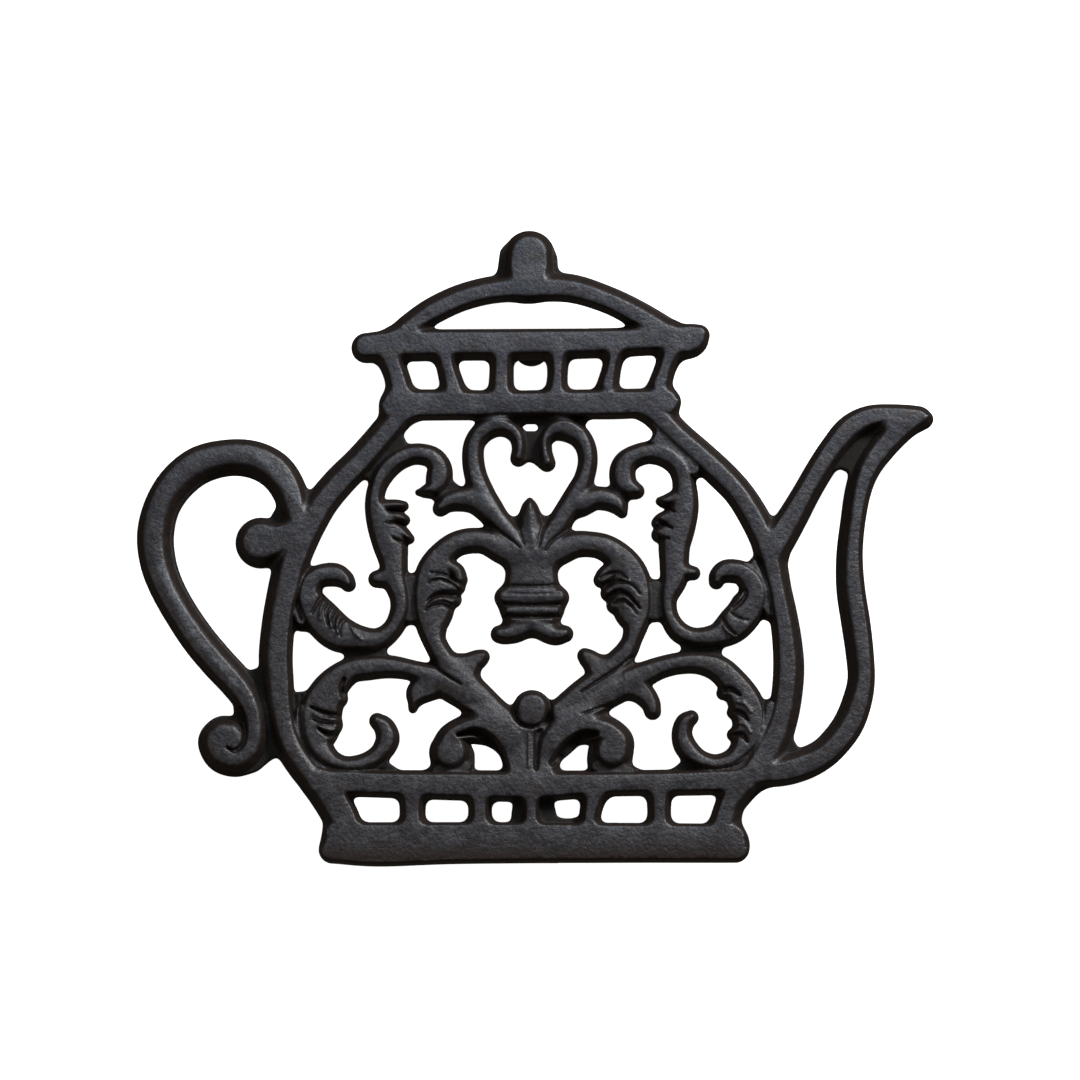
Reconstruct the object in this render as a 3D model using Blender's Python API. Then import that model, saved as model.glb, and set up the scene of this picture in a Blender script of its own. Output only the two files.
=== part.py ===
"""Openwork cast-iron trivet in the outline of a teapot, standing on four push-on rubber feet.

The trivet lies flat: relief face up (+Z), spout towards +X, lid knob towards +Y, origin at the
bottom centre of its box.  The casting is one piece of iron.  It is drawn as strokes: each stroke
is a smooth line through a few points, with a half width at each point, and strokes run together
with the small fillets that a sand casting has.  Every stroke is (x, y, half width) in millimetres.
"""
import math

import bmesh
import bpy
import numpy as np
from mathutils.geometry import delaunay_2d_cdt

MM = 0.001

# ---- heights above the table, in millimetres
PLATE_BACK = 12.0
CAP_HEIGHT = 8.5
CAP_FLOOR = 2.0
PEG_END = CAP_FLOOR + 0.3

# ---- the casting's section, in millimetres
TOP_HEIGHT = {"rim": 7.0, "handle": 7.0, "boss": 7.0, "bud": 6.4, "scroll": 6.2, "lobe": 5.6}
EDGE_HEIGHT = 2.6
DRAFT_RUN = 1.35
DRAFT_SLOPE = 4.0
FILLET = 2.2
SHARP_FILLET = 0.8
CASTING_ALLOWANCE = 0.32
LENGTHWISE_STRETCH = 1.0045

# ---- the four feet, in millimetres
FEET = {"brim": (-1.2, 55.0), "base": (-0.5, -71.8), "handle": (-73.8, 0.4), "spout": (87.0, 26.0)}
PEG_ROOT_RADIUS = 2.7
PEG_TIP_RADIUS = 2.5
CAP_BORE_RADIUS = PEG_ROOT_RADIUS + 0.3
CAP_BASE_RADIUS = 5.0
CAP_TOP_RADIUS = 4.5
CAP_EDGE = 0.7
PEG_CHAMFER = 0.4
ROUND_SIDES = 28
SHARP_ANGLE = 35.0

# ---- how finely the outline is worked out, in millimetres
CELL = 0.6
STROKE_STEP = 0.4
OUTER_TOLERANCE = 0.11
INNER_TOLERANCE = 0.15
FIELD_REACH = 4.0
FAR_OUTSIDE = -20.0
SHORTEST_LOOP = 6
SHORTEST_CHORD = 1e-9
MERGE_DISTANCE = 1e-6

# ---- the drawing: (x, y, half width) in millimetres, in families of one height
STROKES = {
    # the lid
    "knob": ("boss", [(-1.7, 78.6, 6.7), (-1.9, 75, 6.9), (-2.1, 72.9, 6.4)]),
    "knob_flash_left": ("web", [(-7.6, 79, 1.8), (-8.2, 74.6, 1.8)]),
    "knob_flash_right": ("web", [(3.9, 77.5, 1.3), (4.3, 73.8, 1.2)]),
    "lid_arch": ("rim", [(-38, 56.5, 3), (-33, 60.6, 3.1), (-27.5, 64, 3.4), (-20.1, 67.4, 3.4),
        (-11, 69.6, 3.45), (0, 70.2, 3.7), (10, 69.8, 3.6), (20, 66.6, 3.4), (28, 62.6, 3.5),
        (36, 58.2, 3.2)]),
    "brim": ("rim", [(-46, 53.6, 3.8), (-38, 54.2, 4.1), (-25, 54.4, 4), (0, 54.6, 3.95),
        (20, 55, 3.75), (34, 55.6, 3.7), (41.2, 55.4, 4.5), (44.3, 57, 2.7)]),
    "collar": ("rim", [(-38.3, 38, 4), (-25, 38.1, 3.9), (-10, 38, 3.7), (5, 38.2, 3.7),
        (20, 38.3, 3.8), (30, 38.6, 3.7), (35.5, 38.8, 3.7)]),
    "neck_post_1": ("rim", [(-39.4, 50.3, 3.3), (-37.8, 46, 3.2), (-36.6, 41, 3.6)]),
    "neck_post_2": ("rim", [(-24.6, 51, 2.8), (-23.5, 46.5, 2.8), (-22.3, 42, 3.2)]),
    "neck_post_3": ("rim", [(-9.2, 51, 3), (-9.3, 46, 3.05), (-9.4, 41, 3.3)]),
    "neck_post_4": ("rim", [(6, 51, 2.8), (5.9, 46, 2.5), (5.6, 41, 2.9)]),
    "neck_post_5": ("rim", [(21.4, 52, 2.6), (20.6, 48, 2.35), (19.5, 43, 2.8)]),
    "neck_post_6": ("rim", [(36.5, 51.5, 3), (35, 47.5, 2.7), (33.6, 43, 3)]),
    # the body's rim
    "rim_left": ("rim", [(-36, 36.5, 3.9), (-39.8, 32, 3.8), (-44.2, 26.8, 3.8), (-48.3, 22.2, 3.9),
        (-53, 17.5, 4), (-57.6, 12, 4.1), (-61.1, 6.4, 4.3), (-64.1, 0.5, 4.5), (-66.8, -7, 4.3),
        (-68.6, -15, 4.2), (-69.7, -22, 4.2), (-70.3, -30, 4.3), (-69.9, -37, 4.2), (-69.3, -43, 4),
        (-68.2, -49, 3.8), (-66.3, -54.5, 3.8), (-63.4, -59.2, 3.75), (-60.2, -63.1, 3.9),
        (-56.2, -67.6, 4.5), (-53, -72.5, 4.7), (-51.3, -77, 4.7)]),
    "rim_right": ("rim", [(31.9, 36.6, 4), (35.4, 33, 3.75), (39.4, 29.1, 3.65), (44.8, 24.3, 3.75),
        (50.2, 19.3, 3.8), (55, 14.2, 3.7), (59, 8, 3.8), (62.3, 1.2, 3.8), (64.3, -5.5, 3.6),
        (65.5, -12, 3.5), (67, -19, 3.5), (68, -26, 3.7), (68.4, -33, 3.9), (67.9, -40, 3.9),
        (66.6, -47, 3.9), (64, -54, 4.2), (60, -60.5, 4.4), (55.6, -65.5, 4), (52.5, -70, 3.7),
        (51, -75, 4)]),
    # the base
    "base_rail": ("rim", [(-58, -63.8, 3.6), (-40, -64.4, 3.5), (-20, -64.8, 3.8), (0, -65, 3.9),
        (20, -64.3, 3.25), (40, -64, 3.3), (56, -63.5, 3.4)]),
    "foot_rail_upper": ("rim", [(-54, -78.2, 3.2), (0, -78.2, 3.2), (53.2, -79, 3.6)]),
    "foot_rail_lower": ("rim", [(-54.8, -82.1, 3.4), (-42, -82.9, 3.4), (-20, -82.3, 3.3),
        (20, -82, 3.3), (53.8, -81.8, 3.5)]),
    "base_post_1": ("rim", [(-33.2, -67, 3.5), (-33.2, -72, 3.2), (-33.2, -76, 3.5)]),
    "base_post_2": ("rim", [(-15, -67, 3.2), (-15, -72, 2.9), (-15, -76, 3.4)]),
    "base_post_3": ("rim", [(-1.2, -67, 3), (-1.2, -72, 2.6), (-1.2, -76, 3)]),
    "base_post_4": ("rim", [(15.9, -67, 3.4), (15, -71, 2.8), (14.2, -76, 2.6)]),
    "base_post_5": ("rim", [(33.3, -67, 3.2), (33.3, -72, 2.9), (33.3, -76, 3.3)]),
    "foot_pad": ("web", [(-0.5, -72.7, 5.7)]),
    "foot_rail_flash": ("web", [(3, -76.2, 2.1), (10.4, -76.2, 2)]),
    # the spout
    "spout_upper_arm": ("rim", [(64.5, -1, 4.2), (66.9, 3, 4.1), (69.9, 8, 3.8), (73.3, 14, 3.5),
        (76.9, 20.2, 3.5), (80.8, 26, 3.6), (85.3, 31.2, 3.8), (90.5, 34, 3.6), (97, 34.7, 3.3),
        (103, 34.7, 2.75), (105.7, 34.2, 1.7)]),
    "spout_limb": ("rim", [(104.2, 34.1, 2.4), (99, 31.8, 3.7), (94, 26.9, 3.8), (89.9, 21.3, 3.6),
        (87.5, 15, 3.3), (85.9, 6, 3.1), (85, -3, 3.3), (85.3, -12, 3.6), (86.6, -21, 3.65), (87.6, -29, 3.5),
        (88, -36, 3.4), (86.9, -42, 3.7), (84.6, -48, 3.9), (81.3, -52.7, 3.9), (77.3, -56.5, 3.9),
        (72.1, -59.1, 4.1), (66, -60.7, 4.1), (60, -61.4, 3.5)]),
    "spout_web": ("web", [(86, 24.5, 2.7), (90, 30, 2.6)]),
    # the handle
    "handle": ("handle", [(-64.5, 5, 4), (-65.4, 10, 4.2), (-67.2, 15.5, 4.5), (-70.8, 20.3, 4.8),
        (-76.5, 23.2, 4.8), (-83.5, 23.7, 4.7), (-91.2, 21.7, 4.9), (-97.3, 16.9, 4.8),
        (-101.3, 10.5, 4.6), (-103, 3, 4.7), (-102.3, -4.5, 4.6), (-100, -11.1, 4.4),
        (-96.3, -17.9, 4.3), (-91.3, -25.3, 4.4), (-86.1, -31.5, 4.4), (-80.9, -37.1, 4.3),
        (-77.3, -42.2, 4), (-75.6, -47.5, 3.8), (-76.2, -54, 4.1), (-79.7, -57.8, 4.2),
        (-84.5, -57, 4.3), (-86.8, -53.2, 4.1), (-84.8, -50.5, 4), (-82, -50.5, 3.9)]),
    "handle_curl_eye": ("handle", [(-82.5, -53.5, 5), (-81.5, -53.5, 5)]),
    "handle_boss": ("boss", [(-74.4, 0.6, 6.6), (-70.5, 1, 5.5), (-67, 2, 5)]),
    "handle_web_top": ("web", [(-74.3, -39.5, 2.2), (-75.6, -35.4, 1.4)]),
    "handle_web_bottom": ("web", [(-76.2, -57.8, 2.6), (-71.6, -55.2, 2)]),
    "handle_web_curl": ("web", [(-79.8, -45.3, 1.2)]),
    "handle_web_boss": ("web", [(-69.4, 7.7, 1.6)]),
    # the upper scrolls
    "s_left": ("scroll", [(-29.9, 14.5, 1.2), (-27.3, 15.6, 2.4), (-26.2, 18.2, 3.3), (-26.2, 21.3, 3),
        (-28.3, 23.9, 2.7), (-32.8, 24.7, 2.6), (-37.3, 23, 2.6), (-40.8, 19.8, 2.6), (-43, 15.5, 2.3),
        (-43.5, 11, 2.5), (-41.6, 6, 3.9), (-39.6, 1, 4.5), (-38.6, -4, 3.7), (-38.1, -9, 3.3),
        (-36.6, -14, 2.7), (-36.7, -18.5, 2.6), (-39, -23, 2.5), (-43, -25.7, 3), (-48.2, -25.4, 3.6),
        (-53.4, -23.8, 4.7), (-57.6, -20, 4.8), (-61, -15, 3.7), (-61, -11, 3.2), (-58.5, -8.5, 2.9),
        (-54.5, -8, 2.9), (-51.8, -9.2, 2.3), (-50.7, -10.6, 1.75)]),
    "s_left_tip": ("lobe", [(-27.5, 15, 2), (-30.5, 14.4, 1), (-31.8, 14.3, 0.6)]),
    "s_left_lobe_1": ("lobe", [(-41, 10.5, 1.6), (-37.8, 10.6, 1.5), (-35.8, 10.6, 1.1)]),
    "s_left_lobe_2": ("lobe", [(-40.5, 7.5, 1.6), (-37.4, 7.4, 1.7), (-35.5, 6.8, 1.2)]),
    "s_left_lobe_3": ("lobe", [(-40, 4.5, 1.8), (-37, 3.6, 2), (-34.2, 1.7, 1.1)]),
    "s_left_spur": ("lobe", [(-38.5, -8.5, 3), (-41.5, -9, 2.4), (-43, -9.2, 2.05)]),
    "s_left_web": ("web", [(-44, 21, 2.6), (-40.5, 25, 2.2), (-37.5, 27.6, 1.8)]),
    "s_right": ("scroll", [(26.6, 14.8, 2), (24.2, 16.4, 3.1), (23.5, 19.4, 3.3), (24.4, 22.2, 3.1),
        (27.2, 24.2, 2.8), (31.2, 25.1, 2.8), (35.8, 23.8, 2.8), (39, 20.8, 2.8), (40.3, 16.4, 2.95),
        (40.2, 10.5, 3.7), (38.8, 5, 4.2), (37.6, 0, 4), (37.5, -4.5, 3.7), (37.4, -9, 3.5),
        (35.7, -14.5, 2.4), (36.2, -19.5, 2.3), (39, -23.6, 2.6), (43.5, -25.2, 2.6),
        (49.3, -24.4, 3.2), (54, -21.2, 4.5), (58.2, -16, 4.2), (58.7, -11, 3.5), (56, -7.7, 3),
        (52, -7, 2.9), (49.6, -8.2, 2.3), (48.9, -9.9, 1.75)]),
    "s_right_tip": ("lobe", [(25.5, 15.2, 2.2), (27.6, 14.6, 1.6)]),
    "s_right_lobe_1": ("lobe", [(37.5, 12.5, 2), (35.3, 11.8, 1.6), (33.7, 11.9, 0.9)]),
    "s_right_lobe_2": ("lobe", [(37, 7.5, 2.4), (34.2, 6.6, 1.9), (32.9, 6, 1.3)]),
    "s_right_lobe_3": ("lobe", [(36, 3.5, 2.6), (33.5, 2.8, 1.9)]),
    "s_right_spur": ("lobe", [(38.5, -7.3, 2.3), (41, -7.4, 1.9), (42.7, -7.6, 1.6)]),
    "s_right_web": ("web", [(34, 28.2, 2.2), (38, 24.8, 2.5), (42.3, 20.8, 2.2)]),
    "c_right_lobe": ("lobe", [(55.5, -15.5, 2.2), (54, -18, 2), (52.2, -19.5, 1.6)]),
    # the heart
    "heart_left": ("scroll", [(-4.7, 23.5, 1.9), (-4.3, 26.5, 1.9), (-5, 29.5, 2.1), (-7.5, 31.7, 2.3),
        (-11, 32.2, 2.6), (-14.4, 30.6, 2.7), (-16.6, 27.5, 2.6), (-17, 23.5, 2.7), (-16.3, 19, 2.8),
        (-14.6, 14.5, 3), (-11.7, 9, 3), (-8, 4.2, 3), (-5, 0.8, 2.8), (-2.5, -2.5, 2.6)]),
    "heart_right": ("scroll", [(3.1, 22.2, 2), (2.4, 25.5, 1.8), (2.6, 28.6, 1.9), (4.8, 31, 2.5),
        (8, 31.4, 3), (11.5, 29.7, 2.8), (13.6, 26.5, 2.5), (14.1, 22.5, 2.4), (13.1, 18, 2.5),
        (11.2, 14, 2.9), (8.6, 9.6, 3), (5.8, 5, 3), (3, 0.5, 2.8), (1, -2.5, 2.6)]),
    "heart_web": ("web", [(1.6, 31, 1.3), (-0.8, 28.8, 2), (-1.2, 25.4, 1.9), (0.6, 23.6, 1.3)]),
    "heart_web_top": ("web", [(-8, 34.8, 1.6), (-1.5, 34.8, 1.4), (6, 34.8, 1.7), (12, 34.6, 1.4)]),
    "bridge_left": ("scroll", [(-25.8, 9.9, 1.85), (-23.6, 11.7, 2.5), (-20, 12.4, 3), (-16.5, 12, 3.3),
        (-13, 9.5, 3)]),
    "bridge_left_web": ("web", [(-22.8, 15.3, 1.2)]),
    "bridge_right": ("scroll", [(23.4, 8.8, 1.2), (22.2, 11, 2.4), (19.5, 12.4, 2.85), (16, 12.6, 2.9),
        (12.5, 11, 3)]),
    "bud_web": ("web", [(-5.3, 5.4, 1.5), (-1.5, 4, 2.5), (2.6, 5.6, 1.5)]),
    "bud": ("bud", [(-1.6, 11.9, 0.7), (-1.6, 9.5, 2.2), (-1.4, 6, 3.1), (-1, 2, 3), (-0.8, -2, 2.5)]),
    # the vase
    "trunk": ("scroll", [(-1, 1, 4.5), (-1, -3, 6.4), (-1.1, -8, 6.8), (-1.1, -11, 7.1)]),
    "vase_band_1": ("scroll", [(-8.2, -14.2, 2.7), (6.2, -14.2, 2.6)]),
    "vase_band_2": ("scroll", [(-7.3, -18, 2), (5.3, -18, 2)]),
    "vase_neck": ("scroll", [(-6.4, -20.6, 1.5), (4.2, -20.6, 1.5)]),
    "vase_foot_left": ("scroll", [(-1.2, -21.6, 2.3), (-5, -23.4, 2.6), (-8.3, -24.1, 2.4),
        (-9.8, -24.1, 2.1)]),
    "vase_foot_right": ("scroll", [(-0.8, -21.6, 2.3), (3, -23.4, 2.7), (5.5, -24.3, 2.5), (7.9, -24, 2)]),
    # the inner leaves
    "leaf_left": ("scroll", [(-4, -3, 4), (-8.8, -1.1, 3.8), (-13.5, 0.9, 3.2), (-17.7, 1.2, 3.2),
        (-21.8, 0.1, 3.2), (-25.3, -2.8, 3.5), (-27.3, -7, 4.6), (-27.6, -12, 5.6), (-27.7, -17, 5.4),
        (-28.1, -21.5, 4), (-27.5, -25.5, 3), (-25.6, -29.4, 2.9), (-23, -33, 3.3), (-19.5, -36.5, 3.6)]),
    "leaf_left_lobe_1": ("lobe", [(-24, -5.5, 1.8), (-21.5, -7, 1.9), (-20.5, -9.3, 1.8)]),
    "leaf_left_lobe_2": ("lobe", [(-23.5, -11.5, 2.2), (-21.3, -11.3, 2)]),
    "leaf_left_lobe_3": ("lobe", [(-24.5, -15.5, 2.4), (-22.3, -14.7, 2)]),
    "leaf_left_spur": ("lobe", [(-22, -32.5, 3), (-18.5, -32.2, 2.8), (-15.8, -31, 2.4),
        (-14.4, -30.2, 1.7)]),
    "leaf_left_spur_root": ("lobe", [(-19.2, -35.6, 2.8), (-17.3, -33.6, 2.2)]),
    "leaf_right": ("scroll", [(2, -3, 4), (6, -1.7, 3.7), (10.5, 0.1, 3.4), (15, 0.2, 3.2),
        (19, -0.8, 3.4), (22.7, -3.5, 3.8), (25, -7.5, 4.8), (26, -12, 5.4), (26.3, -17, 5.2),
        (27, -21, 3.4), (26.2, -25, 2.5), (24.6, -28.5, 2.7), (21.5, -32, 3), (17.5, -35.8, 3.1),
        (11.9, -40, 3), (6.4, -44.8, 3)]),
    "leaf_right_lobe_1": ("lobe", [(21.5, -6, 2.2), (19, -8, 2.2), (17.8, -9.4, 1.9)]),
    "leaf_right_lobe_2": ("lobe", [(22, -11.5, 2.2), (19.9, -13, 2.1)]),
    "leaf_right_lobe_3": ("lobe", [(22.5, -15.5, 2.2), (21.4, -16.3, 2)]),
    "leaf_right_spur": ("lobe", [(19.5, -33, 3), (16.5, -32.3, 2.8), (14.5, -30.9, 2.4),
        (13.3, -29.9, 1.8)]),
    "leaf_right_spur_root": ("lobe", [(17.8, -35.4, 2.6), (15.8, -33.7, 2.2)]),
    "side_web_left": ("web", [(-33.7, -9.8, 1.2), (-33.7, -19.3, 1.4)]),
    "side_web_right": ("web", [(32.3, -11.3, 1.3), (32.3, -18.8, 1.4)]),
    # the lower scrolls
    "low_left": ("scroll", [(-3.5, -61, 4.5), (-5, -55, 4.8), (-8.5, -49.5, 5), (-13.1, -44.2, 4.4),
        (-17.7, -40.3, 4.8), (-22, -37.8, 4.7), (-27.5, -36, 3.5), (-33, -34, 2.6),
        (-39, -32.9, 2.8), (-45, -33, 3.2), (-50.4, -34.1, 3.3), (-55.2, -38.3, 4.3), (-57.8, -44, 5.4),
        (-58.2, -49, 5.2), (-58.6, -53.4, 3.6), (-56, -57.3, 2.7), (-52.5, -59.1, 2.2),
        (-49, -59.4, 2.3), (-45, -58.4, 2.5), (-41.8, -56, 2.6), (-40, -52.5, 2.95),
        (-40.8, -49.3, 2.6), (-42.8, -47.5, 1.9)]),
    "low_left_spur": ("lobe", [(-28, -38, 3.6), (-31.4, -39.6, 3.2), (-32.7, -42.3, 1.6),
        (-33.2, -44.2, 0.9)]),
    "low_left_lobe_1": ("lobe", [(-55, -41.5, 3), (-53, -41.5, 2)]),
    "low_left_lobe_2": ("lobe", [(-56, -48, 2.6), (-54.4, -48.6, 2)]),
    "low_left_web": ("web", [(-49, -29.3, 1.6), (-43, -29.2, 1.6)]),
    "low_left_curl_web": ("web", [(-42.5, -60, 1.8), (-39.6, -61.2, 1.5)]),
    "ball_left_web": ("web", [(-27.4, -61.4, 1.2), (-22.7, -60, 3), (-18.4, -59.4, 1.3), (-18, -56.8, 0.7)]),
    "rim_left_web_top": ("web", [(-63.3, -18, 2.2), (-63.2, -21.4, 1.5)]),
    "low_left_rim_web": ("web", [(-63.4, -41.6, 1.5), (-63.8, -49, 1.8), (-62, -54.5, 2),
        (-58.5, -59.5, 2)]),
    "ball_left": ("boss", [(-9, -50.5, 4.2), (-14, -49.4, 4.3), (-18.5, -49.8, 3.8), (-22.3, -52, 3.9),
        (-22.9, -56, 5.6)]),
    "low_right": ("scroll", [(2.2, -61, 3.4), (3.7, -55, 3.9), (7.5, -50, 4.6), (12, -45, 4.6),
        (17.5, -40.8, 4.3), (23, -38, 4), (28, -35.6, 3.4), (33.5, -33.2, 2.8), (39, -31.9, 2.7),
        (44.5, -31.8, 2.9), (49.5, -33.5, 3.4), (53.4, -37.3, 3.8), (56.5, -42.1, 4.4), (57.8, -46.5, 4.6),
        (57.6, -50.8, 4.2), (55.6, -55, 3), (52.8, -57.8, 2.5), (48.5, -59, 2.3), (44, -57.8, 2.5),
        (40.6, -54.6, 2.8), (39.5, -51, 2.5), (40.3, -48, 2.3), (42, -46.6, 1.75)]),
    "low_right_lobe_1": ("lobe", [(53, -39.5, 2.2), (50.7, -40, 1.6)]),
    "low_right_lobe_2": ("lobe", [(55, -45, 2.2), (53.3, -45.2, 1.4)]),
    "low_right_lobe_3": ("lobe", [(55.5, -50.5, 2.2), (53.4, -51.2, 1.5)]),
    "low_right_spur": ("lobe", [(25, -38, 3.5), (28.5, -39.7, 3), (30.9, -42.5, 2.4), (31.6, -44.9, 2)]),
    "low_right_web": ("web", [(42, -28.3, 1.6), (48, -28.2, 1.5)]),
    "low_right_curl_web": ("web", [(41.7, -59.8, 1.8), (39.4, -61, 1.5)]),
    "ball_right_web": ("web", [(15.9, -55.5, 1), (16.2, -59, 1.8), (21, -60, 3), (26, -61.3, 1.1)]),
    "rim_right_web_top": ("web", [(60.6, -6.8, 2), (59.6, -4.8, 1)]),
    "rim_right_web_low": ("web", [(63.3, -16, 2), (63.1, -18.4, 1.2)]),
    "spout_web_low": ("web", [(68, -55, 2)]),
    "low_right_rim_web": ("web", [(63, -44, 1.4), (62, -50, 1.9), (59, -56, 2.3)]),
    "ball_right": ("boss", [(6, -53, 4), (9.5, -50, 4.2), (14, -49.3, 4.2), (18.5, -50.3, 4.2),
        (21.5, -53, 4.6), (20.6, -55.6, 5.6)]),
    "button": ("boss", [(-1, -44.3, 4.9), (-1, -44.5, 4.9)]),
    "centre_stem": ("scroll", [(-0.9, -48, 3.6), (-0.9, -55, 2.6), (-0.9, -62, 2.6)]),
}

# the small eye left open between the heart and the collar
HEART_EYE = [(-2.2, 31.9, 0.65), (-0.4, 31.9, 0.65)]


def clear_scene():
    for thing in list(bpy.data.objects):
        bpy.data.objects.remove(thing, do_unlink=True)


def iron_material():
    return plain_material("sand_cast_iron", (0.034, 0.033, 0.035), roughness=0.55, metallic=0.75)


def rubber_material():
    return plain_material("black_rubber", (0.012, 0.012, 0.012), roughness=0.8, metallic=0.0)


def plain_material(name, colour, roughness, metallic):
    material = bpy.data.materials.new(name)
    material.use_nodes = True
    shader = material.node_tree.nodes["Principled BSDF"]
    shader.inputs["Base Color"].default_value = (*colour, 1.0)
    shader.inputs["Roughness"].default_value = roughness
    shader.inputs["Metallic"].default_value = metallic
    return material


# ---- strokes


def smooth_line(points):
    """Points every STROKE_STEP along a Catmull-Rom curve through the given (x, y, half width)."""
    given = np.array(points, dtype=float)
    given[:, 1] *= LENGTHWISE_STRETCH
    if len(given) == 1:
        return given
    padded = np.vstack([2 * given[0] - given[1], given, 2 * given[-1] - given[-2]])
    pieces = []
    for before, start, end, after in zip(padded, padded[1:], padded[2:], padded[3:]):
        count = max(2, int(math.hypot(*(end - start)[:2]) / STROKE_STEP) + 1)
        t = np.linspace(0.0, 1.0, count, endpoint=False)[:, None]
        linear = (end - before) * t
        square = (2 * before - 5 * start + 4 * end - after) * t ** 2
        cubic = (3 * start - before - 3 * end + after) * t ** 3
        pieces.append(0.5 * (2 * start + linear + square + cubic))
    return np.vstack(pieces + [given[-1:]])


def depth_inside(x, y, line):
    """How far each place lies inside a stroke's edge: positive inside, negative outside."""
    distance = np.hypot(x[..., None] - line[:, 0], y[..., None] - line[:, 1])
    return (line[:, 2] + CASTING_ALLOWANCE - distance).max(axis=-1)


def filleted_union(first, second, fillet):
    blend = np.clip(0.5 + 0.5 * (first - second) / fillet, 0.0, 1.0)
    return second * (1 - blend) + first * blend + fillet * blend * (1 - blend)


class Drawing:
    """Depths inside two outlines, sampled on a square grid: the plate's back, with every stroke,
    and the relief, without the low webs that only join neighbouring strokes."""

    def __init__(self):
        self.lines = {name: smooth_line(points) for name, (_, points) in STROKES.items()}
        places = np.vstack(list(self.lines.values()))
        margin = places[:, 2].max() + FIELD_REACH
        low = places[:, :2].min(axis=0) - margin
        high = places[:, :2].max(axis=0) + margin
        self.xs = np.arange(low[0], high[0], CELL)
        self.ys = np.arange(low[1], high[1], CELL)
        self.plate = np.full((len(self.ys), len(self.xs)), FAR_OUTSIDE)
        self.relief = self.plate.copy()
        for name, (family, _) in STROKES.items():
            fillet = SHARP_FILLET if family == "lobe" else FILLET
            where, depth = self.window(self.lines[name])
            self.plate[where] = filleted_union(self.plate[where], depth, fillet)
            if family != "web":
                self.relief[where] = filleted_union(self.relief[where], depth, fillet)
        where, depth = self.window(smooth_line(HEART_EYE))
        self.plate[where] = np.minimum(self.plate[where], -depth)

    def window(self, line):
        margin = line[:, 2].max() + FIELD_REACH
        columns = np.searchsorted(self.xs, [line[:, 0].min() - margin, line[:, 0].max() + margin])
        rows = np.searchsorted(self.ys, [line[:, 1].min() - margin, line[:, 1].max() + margin])
        x, y = np.meshgrid(self.xs[slice(*columns)], self.ys[slice(*rows)])
        return (slice(*rows), slice(*columns)), depth_inside(x, y, line)

    def height(self, points):
        """Height of the relief above the plate's back at each point."""
        x, y = points[:, 0], points[:, 1]
        best = np.full(len(points), EDGE_HEIGHT)
        for name, (family, _) in STROKES.items():
            if family == "web":
                continue
            slope = EDGE_HEIGHT + DRAFT_SLOPE * depth_inside(x, y, self.lines[name])
            best = np.maximum(best, np.minimum(slope, TOP_HEIGHT[family]))
        return best


# ---- outlines


def crossing(drawing, depth, row, column, along_x):
    """The point on one grid edge where the depth passes zero."""
    row_2, column_2 = (row, column + 1) if along_x else (row + 1, column)
    share = depth[row, column] / (depth[row, column] - depth[row_2, column_2])
    x = drawing.xs[column] + share * (drawing.xs[column_2] - drawing.xs[column])
    y = drawing.ys[row] + share * (drawing.ys[row_2] - drawing.ys[row])
    return x, y


def cell_links(depth, row, column):
    """Pairs of crossed edges in one grid cell, each a stretch of the outline."""
    corners = depth[row:row + 2, column:column + 2]
    low_left, low_right, high_left, high_right = (corners > 0).ravel()
    bottom, top = (row, column, True), (row + 1, column, True)
    left, right = (row, column, False), (row, column + 1, False)
    crossed = []
    if low_left != low_right:
        crossed.append(bottom)
    if low_right != high_right:
        crossed.append(right)
    if high_right != high_left:
        crossed.append(top)
    if high_left != low_left:
        crossed.append(left)
    if len(crossed) < 4:
        return [tuple(crossed)]
    if (corners.mean() > 0) == low_left:
        return [(bottom, right), (top, left)]
    return [(bottom, left), (top, right)]


def outlines(drawing, depth, tolerance):
    """Closed loops where the depth is zero, with only the points that their shape needs."""
    inside = (depth > 0).astype(int)
    corners_in = inside[:-1, :-1] + inside[1:, :-1] + inside[:-1, 1:] + inside[1:, 1:]
    links = {}
    for row, column in zip(*np.nonzero((corners_in > 0) & (corners_in < 4))):
        for start, end in cell_links(depth, int(row), int(column)):
            links.setdefault(start, []).append(end)
            links.setdefault(end, []).append(start)
    loops = []
    while links:
        edges = walk_loop(links)
        loop = np.array([crossing(drawing, depth, *edge) for edge in edges])
        if len(loop) > SHORTEST_LOOP:
            loops.append(thinned(loop, tolerance))
    return loops


def walk_loop(links):
    """Take one closed loop of crossed grid edges out of the links."""
    start = next(iter(links))
    edges, previous, here = [], None, start
    while previous is None or here != start:
        edges.append(here)
        first, second = links.pop(here)
        onward = second if first == previous else first
        previous, here = here, onward
    return edges


def thinned(loop, tolerance):
    """The loop without the points that lie within the tolerance of a straight line."""
    far = int(np.argmax(np.hypot(*(loop - loop[0]).T)))
    first = thin_stretch(loop[:far + 1], tolerance)
    second = thin_stretch(np.vstack([loop[far:], loop[:1]]), tolerance)
    return np.vstack([first[:-1], second[:-1]])


def thin_stretch(points, tolerance):
    if len(points) < 3:
        return points
    chord = points[-1] - points[0]
    length = math.hypot(*chord)
    offset = points - points[0]
    away = np.abs(chord[0] * offset[:, 1] - chord[1] * offset[:, 0]) / max(length, SHORTEST_CHORD)
    worst = int(np.argmax(away))
    if away[worst] <= tolerance:
        return points[[0, -1]]
    before = thin_stretch(points[:worst + 1], tolerance)
    return np.vstack([before[:-1], thin_stretch(points[worst:], tolerance)])


def centred(loops_by_level):
    """Move the loops so that the middle of the outline's box is at the origin."""
    places = np.vstack(loops_by_level[0])
    middle = 0.5 * (places.min(axis=0) + places.max(axis=0))
    return middle, [[loop - middle for loop in loops] for loops in loops_by_level]


# ---- the casting


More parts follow.
